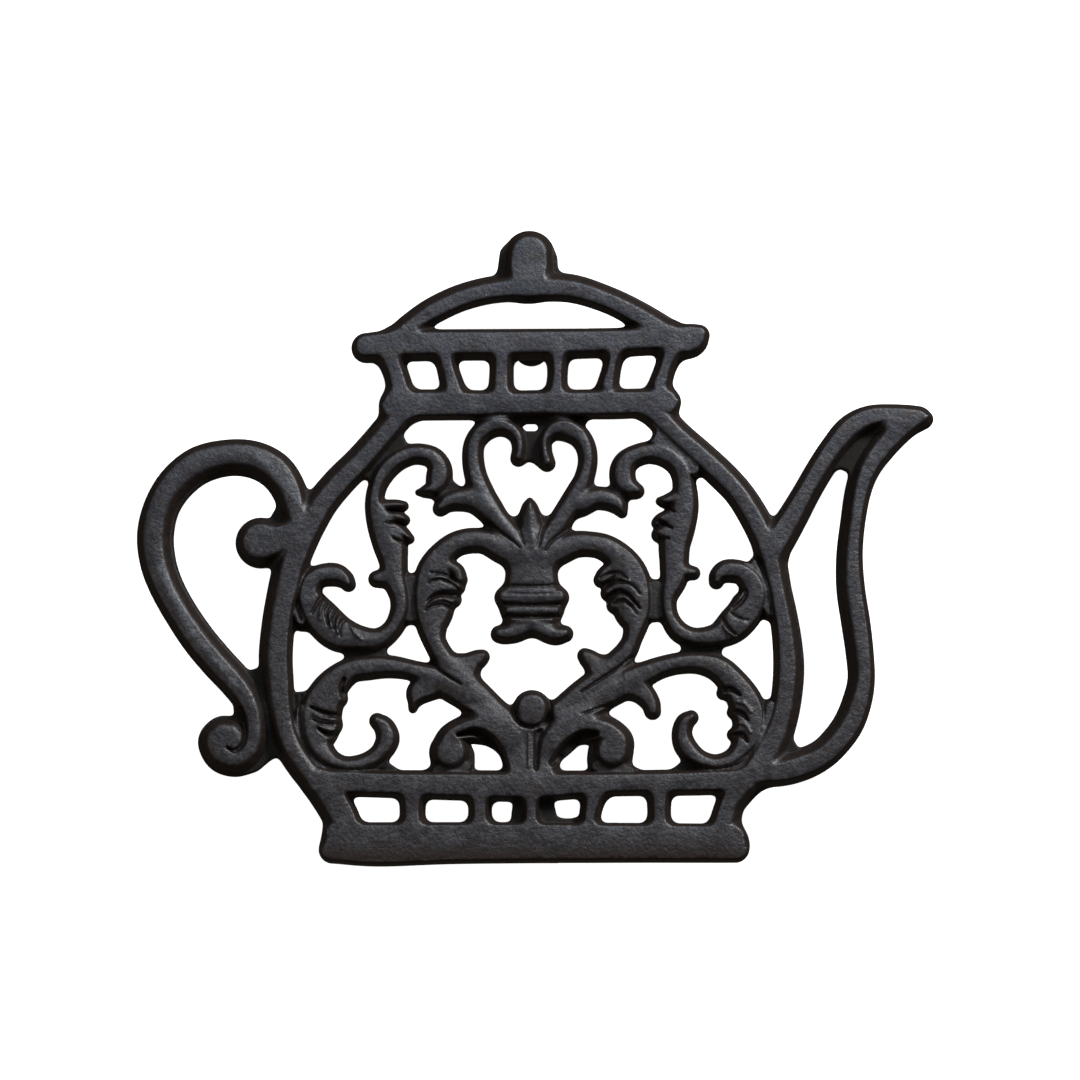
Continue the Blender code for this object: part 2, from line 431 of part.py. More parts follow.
def triangles_inside(boundary, creases=()):
    """Triangles that fill the space between boundary loops; crease loops become edges too."""
    points, edges, walls = [], [], set()
    for loops, is_wall in ((boundary, True), (creases, False)):
        for loop in loops:
            first = len(points)
            points.extend(tuple(point) for point in loop)
            ring = [(first + k, first + (k + 1) % len(loop)) for k in range(len(loop))]
            edges.extend(ring)
            if is_wall:
                walls.update(frozenset(edge) for edge in ring)
    vertices, _, faces, origins, _, _ = delaunay_2d_cdt(points, edges, [], 0, MERGE_DISTANCE)
    original = [min(old) for old in origins]
    if len(vertices) != len(points):
        raise ValueError("outline loops cross each other")
    faces = [turned_up([original[corner] for corner in face], points) for face in faces]
    return inside_faces(faces, walls)


def turned_up(face, points):
    """The face's corners in anticlockwise order."""
    (ax, ay), (bx, by), (cx, cy) = (points[corner] for corner in face)
    area = (bx - ax) * (cy - ay) - (cx - ax) * (by - ay)
    return face if area > 0 else face[::-1]


def inside_faces(faces, walls):
    """Flood in from the hull, changing sides at each wall, and keep the faces that are inside."""
    sides = {}
    for index, face in enumerate(faces):
        for k in range(3):
            sides.setdefault(frozenset((face[k], face[(k + 1) % 3])), []).append(index)
    is_inside = {}
    waiting = []
    for side, users in sides.items():
        if len(users) == 1 and users[0] not in is_inside:
            is_inside[users[0]] = side in walls
            waiting.append(users[0])
    while waiting:
        index = waiting.pop()
        face = faces[index]
        for k in range(3):
            side = frozenset((face[k], face[(k + 1) % 3]))
            for other in sides[side]:
                if other not in is_inside:
                    is_inside[other] = is_inside[index] != (side in walls)
                    waiting.append(other)
    return [face for index, face in enumerate(faces) if is_inside[index]]


def ring(centre, radius):
    angles = [2 * math.pi * k / ROUND_SIDES for k in range(ROUND_SIDES)]
    return np.array([(centre[0] + radius * math.cos(a), centre[1] + radius * math.sin(a)) for a in angles])


def build_casting(drawing, outer, inner, middle, feet):
    mesh = bmesh.new()
    outer_points = np.vstack(outer)
    inner_points = np.vstack(inner)
    crest = PLATE_BACK + drawing.height(inner_points + middle)
    back = [add_point(mesh, x, y, PLATE_BACK) for x, y in outer_points]
    edge = [add_point(mesh, x, y, PLATE_BACK + EDGE_HEIGHT) for x, y in outer_points]
    top = edge + [add_point(mesh, x, y, z) for (x, y), z in zip(inner_points, crest)]
    relief = triangles_inside(outer, inner)
    for face in relief:
        mesh.faces.new([top[corner] for corner in face])
    for start, end in open_edges(relief):
        mesh.faces.new([edge[end], edge[start], back[start], back[end]])
    roots = [ring(centre, PEG_ROOT_RADIUS) for centre in feet.values()]
    root_points = [add_point(mesh, x, y, PLATE_BACK) for x, y in np.vstack(roots)]
    below = back + root_points
    for face in triangles_inside(outer + roots):
        mesh.faces.new([below[corner] for corner in reversed(face)])
    for number, centre in enumerate(feet.values()):
        root = root_points[number * ROUND_SIDES:(number + 1) * ROUND_SIDES]
        add_peg(mesh, root, centre)
    return finish_object(mesh, "trivet_casting", iron_material())


def add_point(mesh, x, y, z):
    return mesh.verts.new((x * MM, y * MM, z * MM))


def open_edges(faces):
    """The edges that only one face uses, each in the direction that its face runs."""
    used = {(face[k], face[(k + 1) % 3]) for face in faces for k in range(3)}
    return [(start, end) for start, end in sorted(used) if (end, start) not in used]


def add_peg(mesh, root, centre):
    """A tapered peg cast on the plate's back, which a rubber foot is pushed over."""
    levels = [(PEG_TIP_RADIUS, PEG_END + PEG_CHAMFER), (PEG_TIP_RADIUS - PEG_CHAMFER, PEG_END)]
    above = root
    for radius, z in levels:
        below = [add_point(mesh, x, y, z) for x, y in ring(centre, radius)]
        for k in range(ROUND_SIDES):
            onward = (k + 1) % ROUND_SIDES
            mesh.faces.new([above[onward], above[k], below[k], below[onward]])
        above = below
    mesh.faces.new(list(reversed(above)))


# ---- the rubber feet


def build_cap(name, centre, material):
    """A turned rubber cup with a flat base and a blind bore for the peg."""
    profile = [
        (CAP_BASE_RADIUS - CAP_EDGE, 0.0),
        (CAP_BASE_RADIUS, CAP_EDGE),
        (CAP_TOP_RADIUS, CAP_HEIGHT - CAP_EDGE),
        (CAP_TOP_RADIUS - CAP_EDGE, CAP_HEIGHT),
        (CAP_BORE_RADIUS, CAP_HEIGHT),
        (CAP_BORE_RADIUS, CAP_FLOOR),
    ]
    mesh = bmesh.new()
    below = [add_point(mesh, x, y, profile[0][1]) for x, y in ring(centre, profile[0][0])]
    mesh.faces.new(list(reversed(below)))
    for radius, z in profile[1:]:
        above = [add_point(mesh, x, y, z) for x, y in ring(centre, radius)]
        for k in range(ROUND_SIDES):
            onward = (k + 1) % ROUND_SIDES
            mesh.faces.new([below[k], below[onward], above[onward], above[k]])
        below = above
    mesh.faces.new(below)
    return finish_object(mesh, "foot_cap_" + name, material)


def finish_object(mesh, name, material):
    data = bpy.data.meshes.new(name)
    bmesh.ops.triangulate(mesh, faces=mesh.faces)
    mesh.to_mesh(data)
    mesh.free()
    data.materials.append(material)
    data.shade_smooth()
    data.set_sharp_from_angle(angle=math.radians(SHARP_ANGLE))
    made = bpy.data.objects.new(name, data)
    bpy.context.scene.collection.objects.link(made)
    return made


def main():
    clear_scene()
    drawing = Drawing()
    outer = outlines(drawing, drawing.plate, OUTER_TOLERANCE)
    inner = outlines(drawing, drawing.relief - DRAFT_RUN, INNER_TOLERANCE)
    middle, (outer, inner) = centred([outer, inner])
    feet = {}
    for name, (x, y) in FEET.items():
        feet[name] = (x - middle[0], y * LENGTHWISE_STRETCH - middle[1])
    build_casting(drawing, outer, inner, middle, feet)
    rubber = rubber_material()
    for name, centre in feet.items():
        build_cap(name, centre, rubber)


main()
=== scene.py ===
"""Looks for the openwork cast-iron trivet in the outline of a teapot.

The casting is rebuilt here as one fine mesh over the same strokes as the CAD casting: drafted
walls, rounded shoulders, crowned scrolls, cut leaves, low webs and a sand-cast surface.  The
rubber feet get turned caps with soft edges.  Lengths in the stroke lists are millimetres.
"""
import math

import bpy
import numpy as np
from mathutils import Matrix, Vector
from mathutils.geometry import delaunay_2d_cdt


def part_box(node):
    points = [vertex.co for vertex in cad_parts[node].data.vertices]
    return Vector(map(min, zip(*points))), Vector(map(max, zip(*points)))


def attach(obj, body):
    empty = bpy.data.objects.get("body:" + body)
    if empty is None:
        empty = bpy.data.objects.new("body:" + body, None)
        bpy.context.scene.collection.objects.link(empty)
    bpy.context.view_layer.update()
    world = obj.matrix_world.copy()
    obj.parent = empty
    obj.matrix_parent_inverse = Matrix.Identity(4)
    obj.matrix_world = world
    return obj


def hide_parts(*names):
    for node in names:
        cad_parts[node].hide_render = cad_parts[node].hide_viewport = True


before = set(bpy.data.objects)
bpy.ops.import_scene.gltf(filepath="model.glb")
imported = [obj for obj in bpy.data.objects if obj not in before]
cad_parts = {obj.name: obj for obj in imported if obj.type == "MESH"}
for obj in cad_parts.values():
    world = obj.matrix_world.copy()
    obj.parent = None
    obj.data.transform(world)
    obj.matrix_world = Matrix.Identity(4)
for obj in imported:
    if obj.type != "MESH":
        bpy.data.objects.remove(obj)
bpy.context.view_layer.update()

MM = 0.001
LOW, HIGH = (np.array(corner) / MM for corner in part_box("trivet_casting"))
MIDDLE_XY = 0.5 * (LOW + HIGH)[:2]
PLATE_BACK = 12.0

# ---- the casting's section, in millimetres: height, fall to the edge, power of the fall
CROWNS = {
    "rim": (7.0, 0.35, 2.0),
    "handle": (7.0, 1.5, 2.0),
    "boss": (7.0, 0.6, 3.0),
    "bud": (6.3, 2.2, 1.4),
    "scroll": (6.2, 1.5, 2.0),
    "lobe": (5.4, 1.2, 2.0),
}
RIM_HEIGHT = 7.0
EDGE_HEIGHT = 0.9
WEB_HEIGHT = 2.7
JOIN_FADE = 1.2
SHOULDER = 1.9

# ---- how wide the drafted walls are in plan: left and right of each stroke's direction
WALL_WIDTHS = {
    "rim_left": (1.2, 2.6),
    "rim_right": (2.4, 1.4),
    "spout_limb": (1.3, 2.4),
    "spout_upper_arm": (1.5, 2.0),
    "handle": (2.6, 1.9),
    "boss": (2.2, 2.2),
    "button": (1.5, 1.5),
    "collar": (1.4, 0.8),
    "lid_arch": (2.5, 0.9),
    "brim": (1.4, 1.3),
    "base_rail": (1.3, 1.1),
    "foot_rail_upper": (0.9, 1.2),
    "foot_rail_lower": (1.2, 0.7),
}
USUAL_WALL_WIDTHS = (1.6, 1.6)
FILLET = 2.2
SHARP_FILLET = 0.8
CASTING_ALLOWANCE = 0.32
LENGTHWISE_STRETCH = 1.0045

# ---- the feet, in millimetres
PEG_ROOT_RADIUS = 2.7
PEG_TIP_RADIUS = 2.5
PEG_CHAMFER = 0.4
PEG_END = 2.3
ROUND_SIDES = 48
FOOT_NAMES = ("brim", "base", "handle", "spout")
CAP_SHARP_ANGLE = 50.0
# (radius, height), from the middle of the base round the outside and down the bore
CAP_PROFILE = [
    (0.0, 0.35), (2.6, 0.3), (3.4, 0.0), (4.3, 0.0), (4.75, 0.15), (4.95, 0.5), (5.0, 1.0),
    (4.85, 3.0), (4.65, 5.0), (4.4, 6.2), (4.2, 6.5), (4.2, 6.8), (4.36, 7.1), (4.42, 7.5),
    (4.36, 8.1), (4.15, 8.42), (3.9, 8.5), (3.3, 8.45), (3.0, 8.1), (3.0, 2.3), (2.7, 2.0),
    (0.0, 2.0),
]

# ---- how finely the surface is worked out, in millimetres
CELL = 0.32
STROKE_STEP = 0.4
FIELD_REACH = 4.0
FAR_OUTSIDE = -20.0
MERGE_DISTANCE = 1e-6
TRIANGLES_KEPT = 190000

# ---- shaping and looks
ROWS_AT_ONCE = 40
LATTICE = 200
OVERHANG = 2.0
CROWN_BLEND = 1.0
WEB_BLEND = 0.5
EDGE_CLEARANCE = 0.08
# the lumpy skin fades out over this depth from the outline: (start, run)
LUMP_FADE = (0.2, 1.0)
# lumps: (size, height in millimetres, seed)
LUMPS = ((5.0, 0.06, 11), (2.0, 0.04, 12), (1.0, 0.03, 13))

CREST_NEUTRAL = (0.028, 0.027, 0.032, 1.0)
# painted light: the lighter, bluer crest colour towards the top of the plate, the side the light
# comes from
CREST_TOP_LIGHT = (0.040, 0.046, 0.062, 1.0)
CREST_WORN = (0.062, 0.061, 0.070, 1.0)
CREST_BROWN = (0.034, 0.025, 0.022, 1.0)
# painted shade: the dark colours of the walls and low flat parts, with brown patches
WALL_SHADE_DARK = (0.007, 0.005, 0.0035, 1.0)
WALL_SHADE_BROWN = (0.026, 0.014, 0.010, 1.0)
# painted highlight: the colour of the bright streaks along the crests that face the key light
PAINTED_HIGHLIGHT = (0.145, 0.158, 0.178, 1.0)
PIT_DARK = (0.012, 0.011, 0.012, 1.0)
RUBBER_DARK = (0.012, 0.012, 0.012, 1.0)
RUBBER_DUSTY = (0.03, 0.029, 0.028, 1.0)
FLOOR_COLOUR = (0.9, 0.9, 0.9, 1.0)
GLOW_COLOUR = (1.0, 1.0, 1.0, 1.0)

# noises: (scale per metre, detail, roughness)
COARSE_NOISE = (110.0, 4.0, 0.6)
MEDIUM_NOISE = (500.0, 3.0, 0.6)
TINT_NOISE = (330.0, 2.0, 0.6)
GRAIN_NOISE = (1000.0, 4.0, 0.7)
BLOOM_NOISE = (260.0, 4.0, 0.6)
RUBBER_NOISE = (2600.0, 2.0, 0.5)
# bumps: (strength, distance in metres)
GRAIN_BUMP = (0.46, 0.0003)
MEDIUM_BUMP = (0.34, 0.0005)
RUBBER_BUMP = (0.25, 0.0001)
# ramps: (from, to) of what drives each change, in metres where it is a position
# the slope and height ramps pick the high flat crests; steeper and lower surfaces get painted shade
FLAT_SLOPE = (0.58, 0.96)
HIGH_PART = (0.0152, 0.0183)
# painted light: where along the plate the crests turn lighter and bluer towards the top, and how
# far a noise shifts that edge
TOP_LIGHT_PART = (-0.02, 0.09)
TOP_LIGHT_WANDER = 0.03
BROWN_EDGE = (-0.0765, -0.0805)
BROWN_WANDER = 0.006
WORN_PATCHES = (0.42, 0.68)
BROWN_PATCHES = (0.5, 0.75)
WALL_PATCHES = (0.35, 0.7)
PITS = (0.52, 0.34)
PIT_STRENGTH = 0.7
# painted highlight streaks: the patches along them and their bright core
HIGHLIGHT_PATCHES = (0.3, 0.6, 0.25, 0.8)
HIGHLIGHT_CORE = 0.2
GRAIN_ROUGHNESS = (0.3, 0.7, 0.06, -0.06)
WALL_ROUGHNESS = 0.50
CREST_ROUGHNESS = 0.38
SUNK_ROUGHNESS = 0.45
IRON_IOR = 1.55
BLOOM_PATCHES = (0.4, 0.75)
RUBBER_ROUGHNESS = (0.3, 0.7, 0.62, 0.8)

# ---- floor (in millimetres), then light and camera (in metres)
FLOOR_SIZE = 6000.0
FLOOR_ROUGHNESS = 0.9
FLOOR_GLOW = 1.0
WORLD_COLOUR = (1.0, 0.86, 0.72, 1.0)
WORLD_STRENGTH = 0.055
LENS = 200.0
SENSOR = 36.0
VIEW_WIDTH = 0.2927
VIEW_LEAN = 5.5
AIM = (0.0012, 0.0020, 0.012)
# softboxes: name, place, what it points at, size, watts, colour
SOFTBOXES = (
    ("key", (0.62, 0.62, 0.62), (0.0, 0.0, 0.0), (0.22, 0.22), 9.5, (1.0, 1.0, 1.0)),
    ("overhead", (0.05, 0.50, 0.75), (0.0, 0.0, 0.0), (0.80, 0.60), 2.85, (0.86, 0.92, 1.0)),
    ("fill", (-0.7, -0.3, 0.5), (0.0, 0.0, 0.0), (0.5, 0.5), 0.5, (1.0, 0.86, 0.72)),
)

# ---- the drawing: (x, y, half width) in millimetres, in families of one section
STROKES = {
    # the lid
    "knob": ("boss", [(-1.7, 78.6, 6.7), (-1.9, 75, 6.9), (-2.1, 72.9, 6.4)]),
    "knob_flash_left": ("web", [(-7.6, 79, 1.8), (-8.2, 74.6, 1.8)]),
    "knob_flash_right": ("web", [(3.9, 77.5, 1.3), (4.3, 73.8, 1.2)]),
    "lid_arch": ("rim", [(-38, 56.5, 3), (-33, 60.6, 3.1), (-27.5, 64, 3.4), (-20.1, 67.4, 3.4),
        (-11, 69.6, 3.45), (0, 70.2, 3.7), (10, 69.8, 3.6), (20, 66.6, 3.4), (28, 62.6, 3.5),
        (36, 58.2, 3.2)]),
    "brim": ("rim", [(-46, 53.6, 3.8), (-38, 54.2, 4.1), (-25, 54.4, 4), (0, 54.6, 3.95),
        (20, 55, 3.75), (34, 55.6, 3.7), (41.2, 55.4, 4.5), (44.3, 57, 2.7)]),
    "collar": ("rim", [(-38.3, 38, 4), (-25, 38.1, 3.9), (-10, 38, 3.7), (5, 38.2, 3.7),
        (20, 38.3, 3.8), (30, 38.6, 3.7), (35.5, 38.8, 3.7)]),
    "neck_post_1": ("rim", [(-39.4, 50.3, 3.3), (-37.8, 46, 3.2), (-36.6, 41, 3.6)]),
    "neck_post_2": ("rim", [(-24.6, 51, 2.8), (-23.5, 46.5, 2.8), (-22.3, 42, 3.2)]),
    "neck_post_3": ("rim", [(-9.2, 51, 3), (-9.3, 46, 3.05), (-9.4, 41, 3.3)]),
    "neck_post_4": ("rim", [(6, 51, 2.8), (5.9, 46, 2.5), (5.6, 41, 2.9)]),
    "neck_post_5": ("rim", [(21.4, 52, 2.6), (20.6, 48, 2.35), (19.5, 43, 2.8)]),
    "neck_post_6": ("rim", [(36.5, 51.5, 3), (35, 47.5, 2.7), (33.6, 43, 3)]),
    # the body's rim
    "rim_left": ("rim", [(-36, 36.5, 3.9), (-39.8, 32, 3.8), (-44.2, 26.8, 3.8), (-48.3, 22.2, 3.9),
        (-53, 17.5, 4), (-57.6, 12, 4.1), (-61.1, 6.4, 4.3), (-64.1, 0.5, 4.5), (-66.8, -7, 4.3),
        (-68.6, -15, 4.2), (-69.7, -22, 4.2), (-70.3, -30, 4.3), (-69.9, -37, 4.2), (-69.3, -43, 4),
        (-68.2, -49, 3.8), (-66.3, -54.5, 3.8), (-63.4, -59.2, 3.75), (-60.2, -63.1, 3.9),
        (-56.2, -67.6, 4.5), (-53, -72.5, 4.7), (-51.3, -77, 4.7)]),
    "rim_right": ("rim", [(31.9, 36.6, 4), (35.4, 33, 3.75), (39.4, 29.1, 3.65), (44.8, 24.3, 3.75),
        (50.2, 19.3, 3.8), (55, 14.2, 3.7), (59, 8, 3.8), (62.3, 1.2, 3.8), (64.3, -5.5, 3.6),
        (65.5, -12, 3.5), (67, -19, 3.5), (68, -26, 3.7), (68.4, -33, 3.9), (67.9, -40, 3.9),
        (66.6, -47, 3.9), (64, -54, 4.2), (60, -60.5, 4.4), (55.6, -65.5, 4), (52.5, -70, 3.7),
        (51, -75, 4)]),
    # the base
    "base_rail": ("rim", [(-58, -63.8, 3.6), (-40, -64.4, 3.5), (-20, -64.8, 3.8), (0, -65, 3.9),
        (20, -64.3, 3.25), (40, -64, 3.3), (56, -63.5, 3.4)]),
    "foot_rail_upper": ("rim", [(-54, -78.2, 3.2), (0, -78.2, 3.2), (53.2, -79, 3.6)]),
    "foot_rail_lower": ("rim", [(-54.8, -82.1, 3.4), (-42, -82.9, 3.4), (-20, -82.3, 3.3),
        (20, -82, 3.3), (53.8, -81.8, 3.5)]),
    "base_post_1": ("rim", [(-33.2, -67, 3.5), (-33.2, -72, 3.2), (-33.2, -76, 3.5)]),
    "base_post_2": ("rim", [(-15, -67, 3.2), (-15, -72, 2.9), (-15, -76, 3.4)]),
    "base_post_3": ("rim", [(-1.2, -67, 3), (-1.2, -72, 2.6), (-1.2, -76, 3)]),
    "base_post_4": ("rim", [(15.9, -67, 3.4), (15, -71, 2.8), (14.2, -76, 2.6)]),
    "base_post_5": ("rim", [(33.3, -67, 3.2), (33.3, -72, 2.9), (33.3, -76, 3.3)]),
    "foot_pad": ("web", [(-0.5, -72.7, 5.7)]),
    "foot_rail_flash": ("web", [(3, -76.2, 2.1), (10.4, -76.2, 2)]),
    # the spout
    "spout_upper_arm": ("rim", [(64.5, -1, 4.2), (66.9, 3, 4.1), (69.9, 8, 3.8), (73.3, 14, 3.5),
        (76.9, 20.2, 3.5), (80.8, 26, 3.6), (85.3, 31.2, 3.8), (90.5, 34, 3.6), (97, 34.7, 3.3),
        (103, 34.7, 2.75), (105.7, 34.2, 1.7)]),
    "spout_limb": ("rim", [(104.2, 34.1, 2.4), (99, 31.8, 3.7), (94, 26.9, 3.8), (89.9, 21.3, 3.6),
        (87.5, 15, 3.3), (85.9, 6, 3.1), (85, -3, 3.3), (85.3, -12, 3.6), (86.6, -21, 3.65),
        (87.6, -29, 3.5), (88, -36, 3.4), (86.9, -42, 3.7), (84.6, -48, 3.9), (81.3, -52.7, 3.9),
        (77.3, -56.5, 3.9), (72.1, -59.1, 4.1), (66, -60.7, 4.1), (60, -61.4, 3.5)]),
    "spout_fork": ("rim", [(95.6, 31.8, 2.2), (99, 33.4, 2.4)]),
    "spout_web": ("web", [(86, 24.5, 2.7), (90, 30, 2.6)]),
    "spout_web_edge": ("web", [(83, 22.9, 1.7), (86.5, 21.6, 1.7)]),
    # the handle
    "handle": ("handle", [(-64.5, 5, 4), (-65.4, 10, 4.2), (-67.2, 15.5, 4.5), (-70.8, 20.3, 4.8),
        (-76.5, 23.2, 4.8), (-83.5, 23.7, 4.7), (-91.2, 21.7, 4.9), (-97.3, 16.9, 4.8),
        (-101.3, 10.5, 4.6), (-103, 3, 4.7), (-102.3, -4.5, 4.6), (-100, -11.1, 4.4),
        (-96.3, -17.9, 4.3), (-91.3, -25.3, 4.4), (-86.1, -31.5, 4.4), (-80.9, -37.1, 4.3),
        (-77.3, -42.2, 4), (-75.6, -47.5, 3.8), (-76.2, -54, 4.1), (-79.7, -57.8, 4.2),
        (-84.5, -57, 4.3), (-86.8, -53.2, 4.1), (-84.8, -50.5, 4), (-82, -50.5, 3.9)]),
    "handle_curl_eye": ("handle", [(-82.5, -53.5, 5), (-81.5, -53.5, 5)]),
    "handle_boss": ("boss", [(-74.4, 0.6, 6.6), (-70.5, 1, 5.5), (-67, 2, 5)]),
    "handle_web_top": ("web", [(-74.3, -39.5, 2.2), (-75.6, -35.4, 1.4)]),
    "handle_web_bottom": ("web", [(-76.2, -57.8, 2.6), (-71.6, -55.2, 2)]),
    "handle_web_curl": ("web", [(-79.8, -45.3, 1.2)]),
    "handle_web_boss": ("web", [(-69.4, 7.7, 1.6)]),
    # the upper scrolls
    "s_left": ("scroll", [(-29.9, 14.5, 1.2), (-27.3, 15.6, 2.4), (-26.2, 18.2, 3.3),
        (-26.2, 21.3, 3), (-28.3, 23.9, 2.7), (-32.8, 24.7, 2.6), (-37.3, 23, 2.6),
        (-40.8, 19.8, 2.6), (-43, 15.5, 2.3), (-43.5, 11, 2.5), (-41.6, 6, 3.9), (-39.6, 1, 4.5),
        (-38.6, -4, 3.7), (-38.1, -9, 3.3), (-36.6, -14, 2.7), (-36.7, -18.5, 2.6), (-39, -23, 2.5),
        (-43, -25.7, 3), (-48.2, -25.4, 3.6), (-53.4, -23.8, 4.7), (-57.6, -20, 4.8),
        (-61, -15, 3.7), (-61, -11, 3.2), (-58.5, -8.5, 2.9), (-54.5, -8, 2.9), (-51.8, -9.2, 2.3),
        (-50.7, -10.6, 1.75)]),
    "s_left_tip": ("lobe", [(-27.5, 15, 2), (-30.5, 14.4, 1), (-31.8, 14.3, 0.6)]),
    "s_left_lobe_1": ("lobe", [(-41, 10.5, 1.6), (-37.8, 10.6, 1.5), (-35.8, 10.6, 1.1)]),
    "s_left_lobe_2": ("lobe", [(-40.5, 7.5, 1.6), (-37.4, 7.4, 1.7), (-35.5, 6.8, 1.2)]),
    "s_left_lobe_3": ("lobe", [(-40, 4.5, 1.8), (-37, 3.6, 2), (-34.2, 1.7, 1.1)]),
    "s_left_spur": ("lobe", [(-38.5, -8.5, 3), (-41.5, -9, 2.4), (-43, -9.2, 2.05)]),
    "s_left_web": ("web", [(-44, 21, 2.6), (-40.5, 25, 2.2), (-37.5, 27.6, 1.8)]),
    "s_right": ("scroll", [(26.6, 14.8, 2), (24.2, 16.4, 3.1), (23.5, 19.4, 3.3), (24.4, 22.2, 3.1),
        (27.2, 24.2, 2.8), (31.2, 25.1, 2.8), (35.8, 23.8, 2.8), (39, 20.8, 2.8),
        (40.3, 16.4, 2.95), (40.2, 10.5, 3.7), (38.8, 5, 4.2), (37.6, 0, 4), (37.5, -4.5, 3.7),
        (37.4, -9, 3.5), (35.7, -14.5, 2.4), (36.2, -19.5, 2.3), (39, -23.6, 2.6),
        (43.5, -25.2, 2.6), (49.3, -24.4, 3.2), (54, -21.2, 4.5), (58.2, -16, 4.2),
        (58.7, -11, 3.5), (56, -7.7, 3), (52, -7, 2.9), (49.6, -8.2, 2.3), (48.9, -9.9, 1.75)]),
    "s_right_tip": ("lobe", [(25.5, 15.2, 2.2), (27.6, 14.6, 1.6)]),
    "s_right_lobe_1": ("lobe", [(37.5, 12.5, 2), (35.3, 11.8, 1.6), (33.7, 11.9, 0.9)]),
    "s_right_lobe_2": ("lobe", [(37, 7.5, 2.4), (34.2, 6.6, 1.9), (32.9, 6, 1.3)]),
    "s_right_lobe_3": ("lobe", [(36, 3.5, 2.6), (33.5, 2.8, 1.9)]),
    "s_right_spur": ("lobe", [(38.5, -7.3, 2.3), (41, -7.4, 1.9), (42.7, -7.6, 1.6)]),
    "s_right_web": ("web", [(34, 28.2, 2.2), (38, 24.8, 2.5), (42.3, 20.8, 2.2)]),
    "c_right_lobe": ("lobe", [(55.5, -15.5, 2.2), (54, -18, 2), (52.2, -19.5, 1.6)]),
    # the heart
    "heart_left": ("scroll", [(-4.7, 23.5, 1.9), (-4.3, 26.5, 1.9), (-5, 29.5, 2.1),
        (-7.5, 31.7, 2.3), (-11, 32.2, 2.6), (-14.4, 30.6, 2.7), (-16.6, 27.5, 2.6),
        (-17, 23.5, 2.7), (-16.3, 19, 2.8), (-14.6, 14.5, 3), (-11.7, 9, 3), (-8, 4.2, 3),
        (-5, 0.8, 2.8), (-2.5, -2.5, 2.6)]),
    "heart_right": ("scroll", [(3.1, 22.2, 2), (2.4, 25.5, 1.8), (2.6, 28.6, 1.9), (4.8, 31, 2.5),
        (8, 31.4, 3), (11.5, 29.7, 2.8), (13.6, 26.5, 2.5), (14.1, 22.5, 2.4), (13.1, 18, 2.5),
        (11.2, 14, 2.9), (8.6, 9.6, 3), (5.8, 5, 3), (3, 0.5, 2.8), (1, -2.5, 2.6)]),
    "heart_web": ("web", [(1.6, 31, 1.3), (-0.8, 28.8, 2), (-1.2, 25.4, 1.9), (0.6, 23.6, 1.3)]),
    "heart_web_top": ("web", [(-8, 34.8, 1.6), (-1.5, 34.8, 1.4), (6, 34.8, 1.7), (12, 34.6, 1.4)]),
    "bridge_left": ("scroll", [(-25.8, 9.9, 1.85), (-23.6, 11.7, 2.5), (-20, 12.4, 3),
        (-16.5, 12, 3.3), (-13, 9.5, 3)]),
    "bridge_left_web": ("web", [(-22.8, 15.3, 1.2)]),
    "bridge_right": ("scroll", [(23.4, 8.8, 1.2), (22.2, 11, 2.4), (19.5, 12.4, 2.85),
        (16, 12.6, 2.9), (12.5, 11, 3)]),
    "bud_web": ("web", [(-5.3, 5.4, 1.5), (-1.5, 4, 2.5), (2.6, 5.6, 1.5)]),
    "bud": ("bud", [(-1.6, 11.9, 0.7), (-1.6, 9.5, 2.2), (-1.4, 6, 3.1), (-1, 2, 3),
        (-0.8, -2, 2.5)]),
    # the vase
    "trunk": ("scroll", [(-1, 1, 4.5), (-1, -3, 6.4), (-1.1, -8, 6.8), (-1.1, -11, 7.1)]),
    "vase_band_1": ("scroll", [(-8.2, -14.2, 2.7), (6.2, -14.2, 2.6)]),
    "vase_band_2": ("scroll", [(-7.3, -18, 2), (5.3, -18, 2)]),
    "vase_neck": ("scroll", [(-6.4, -20.6, 1.5), (4.2, -20.6, 1.5)]),
    "vase_foot_left": ("scroll", [(-1.2, -21.6, 2.3), (-5, -23.4, 2.6), (-8.3, -24.1, 2.4),
        (-9.8, -24.1, 2.1)]),
    "vase_foot_right": ("scroll", [(-0.8, -21.6, 2.3), (3, -23.4, 2.7), (5.5, -24.3, 2.5),
        (7.9, -24, 2)]),
    # the inner leaves
    "leaf_left": ("scroll", [(-4, -3, 4), (-8.8, -1.1, 3.8), (-13.5, 0.9, 3.2), (-17.7, 1.2, 3.2),
        (-21.8, 0.1, 3.2), (-25.3, -2.8, 3.5), (-27.3, -7, 4.6), (-27.6, -12, 5.6),
        (-27.7, -17, 5.4), (-28.1, -21.5, 4), (-27.5, -25.5, 3), (-25.6, -29.4, 2.9),
        (-23, -33, 3.3), (-19.5, -36.5, 3.6)]),
    "leaf_left_lobe_1": ("lobe", [(-24, -5.5, 1.8), (-21.5, -7, 1.9), (-20.5, -9.3, 1.8)]),
    "leaf_left_lobe_2": ("lobe", [(-23.5, -11.5, 2.2), (-21.3, -11.3, 2)]),
    "leaf_left_lobe_3": ("lobe", [(-24.5, -15.5, 2.4), (-22.3, -14.7, 2)]),
    "leaf_left_spur": ("lobe", [(-22, -32.5, 3), (-18.5, -32.2, 2.8), (-15.8, -31, 2.4),
        (-14.4, -30.2, 1.7)]),
    "leaf_left_spur_root": ("lobe", [(-19.2, -35.6, 2.8), (-17.3, -33.6, 2.2)]),
    "leaf_right": ("scroll", [(2, -3, 4), (6, -1.7, 3.7), (10.5, 0.1, 3.4), (15, 0.2, 3.2),
        (19, -0.8, 3.4), (22.7, -3.5, 3.8), (25, -7.5, 4.8), (26, -12, 5.4), (26.3, -17, 5.2),
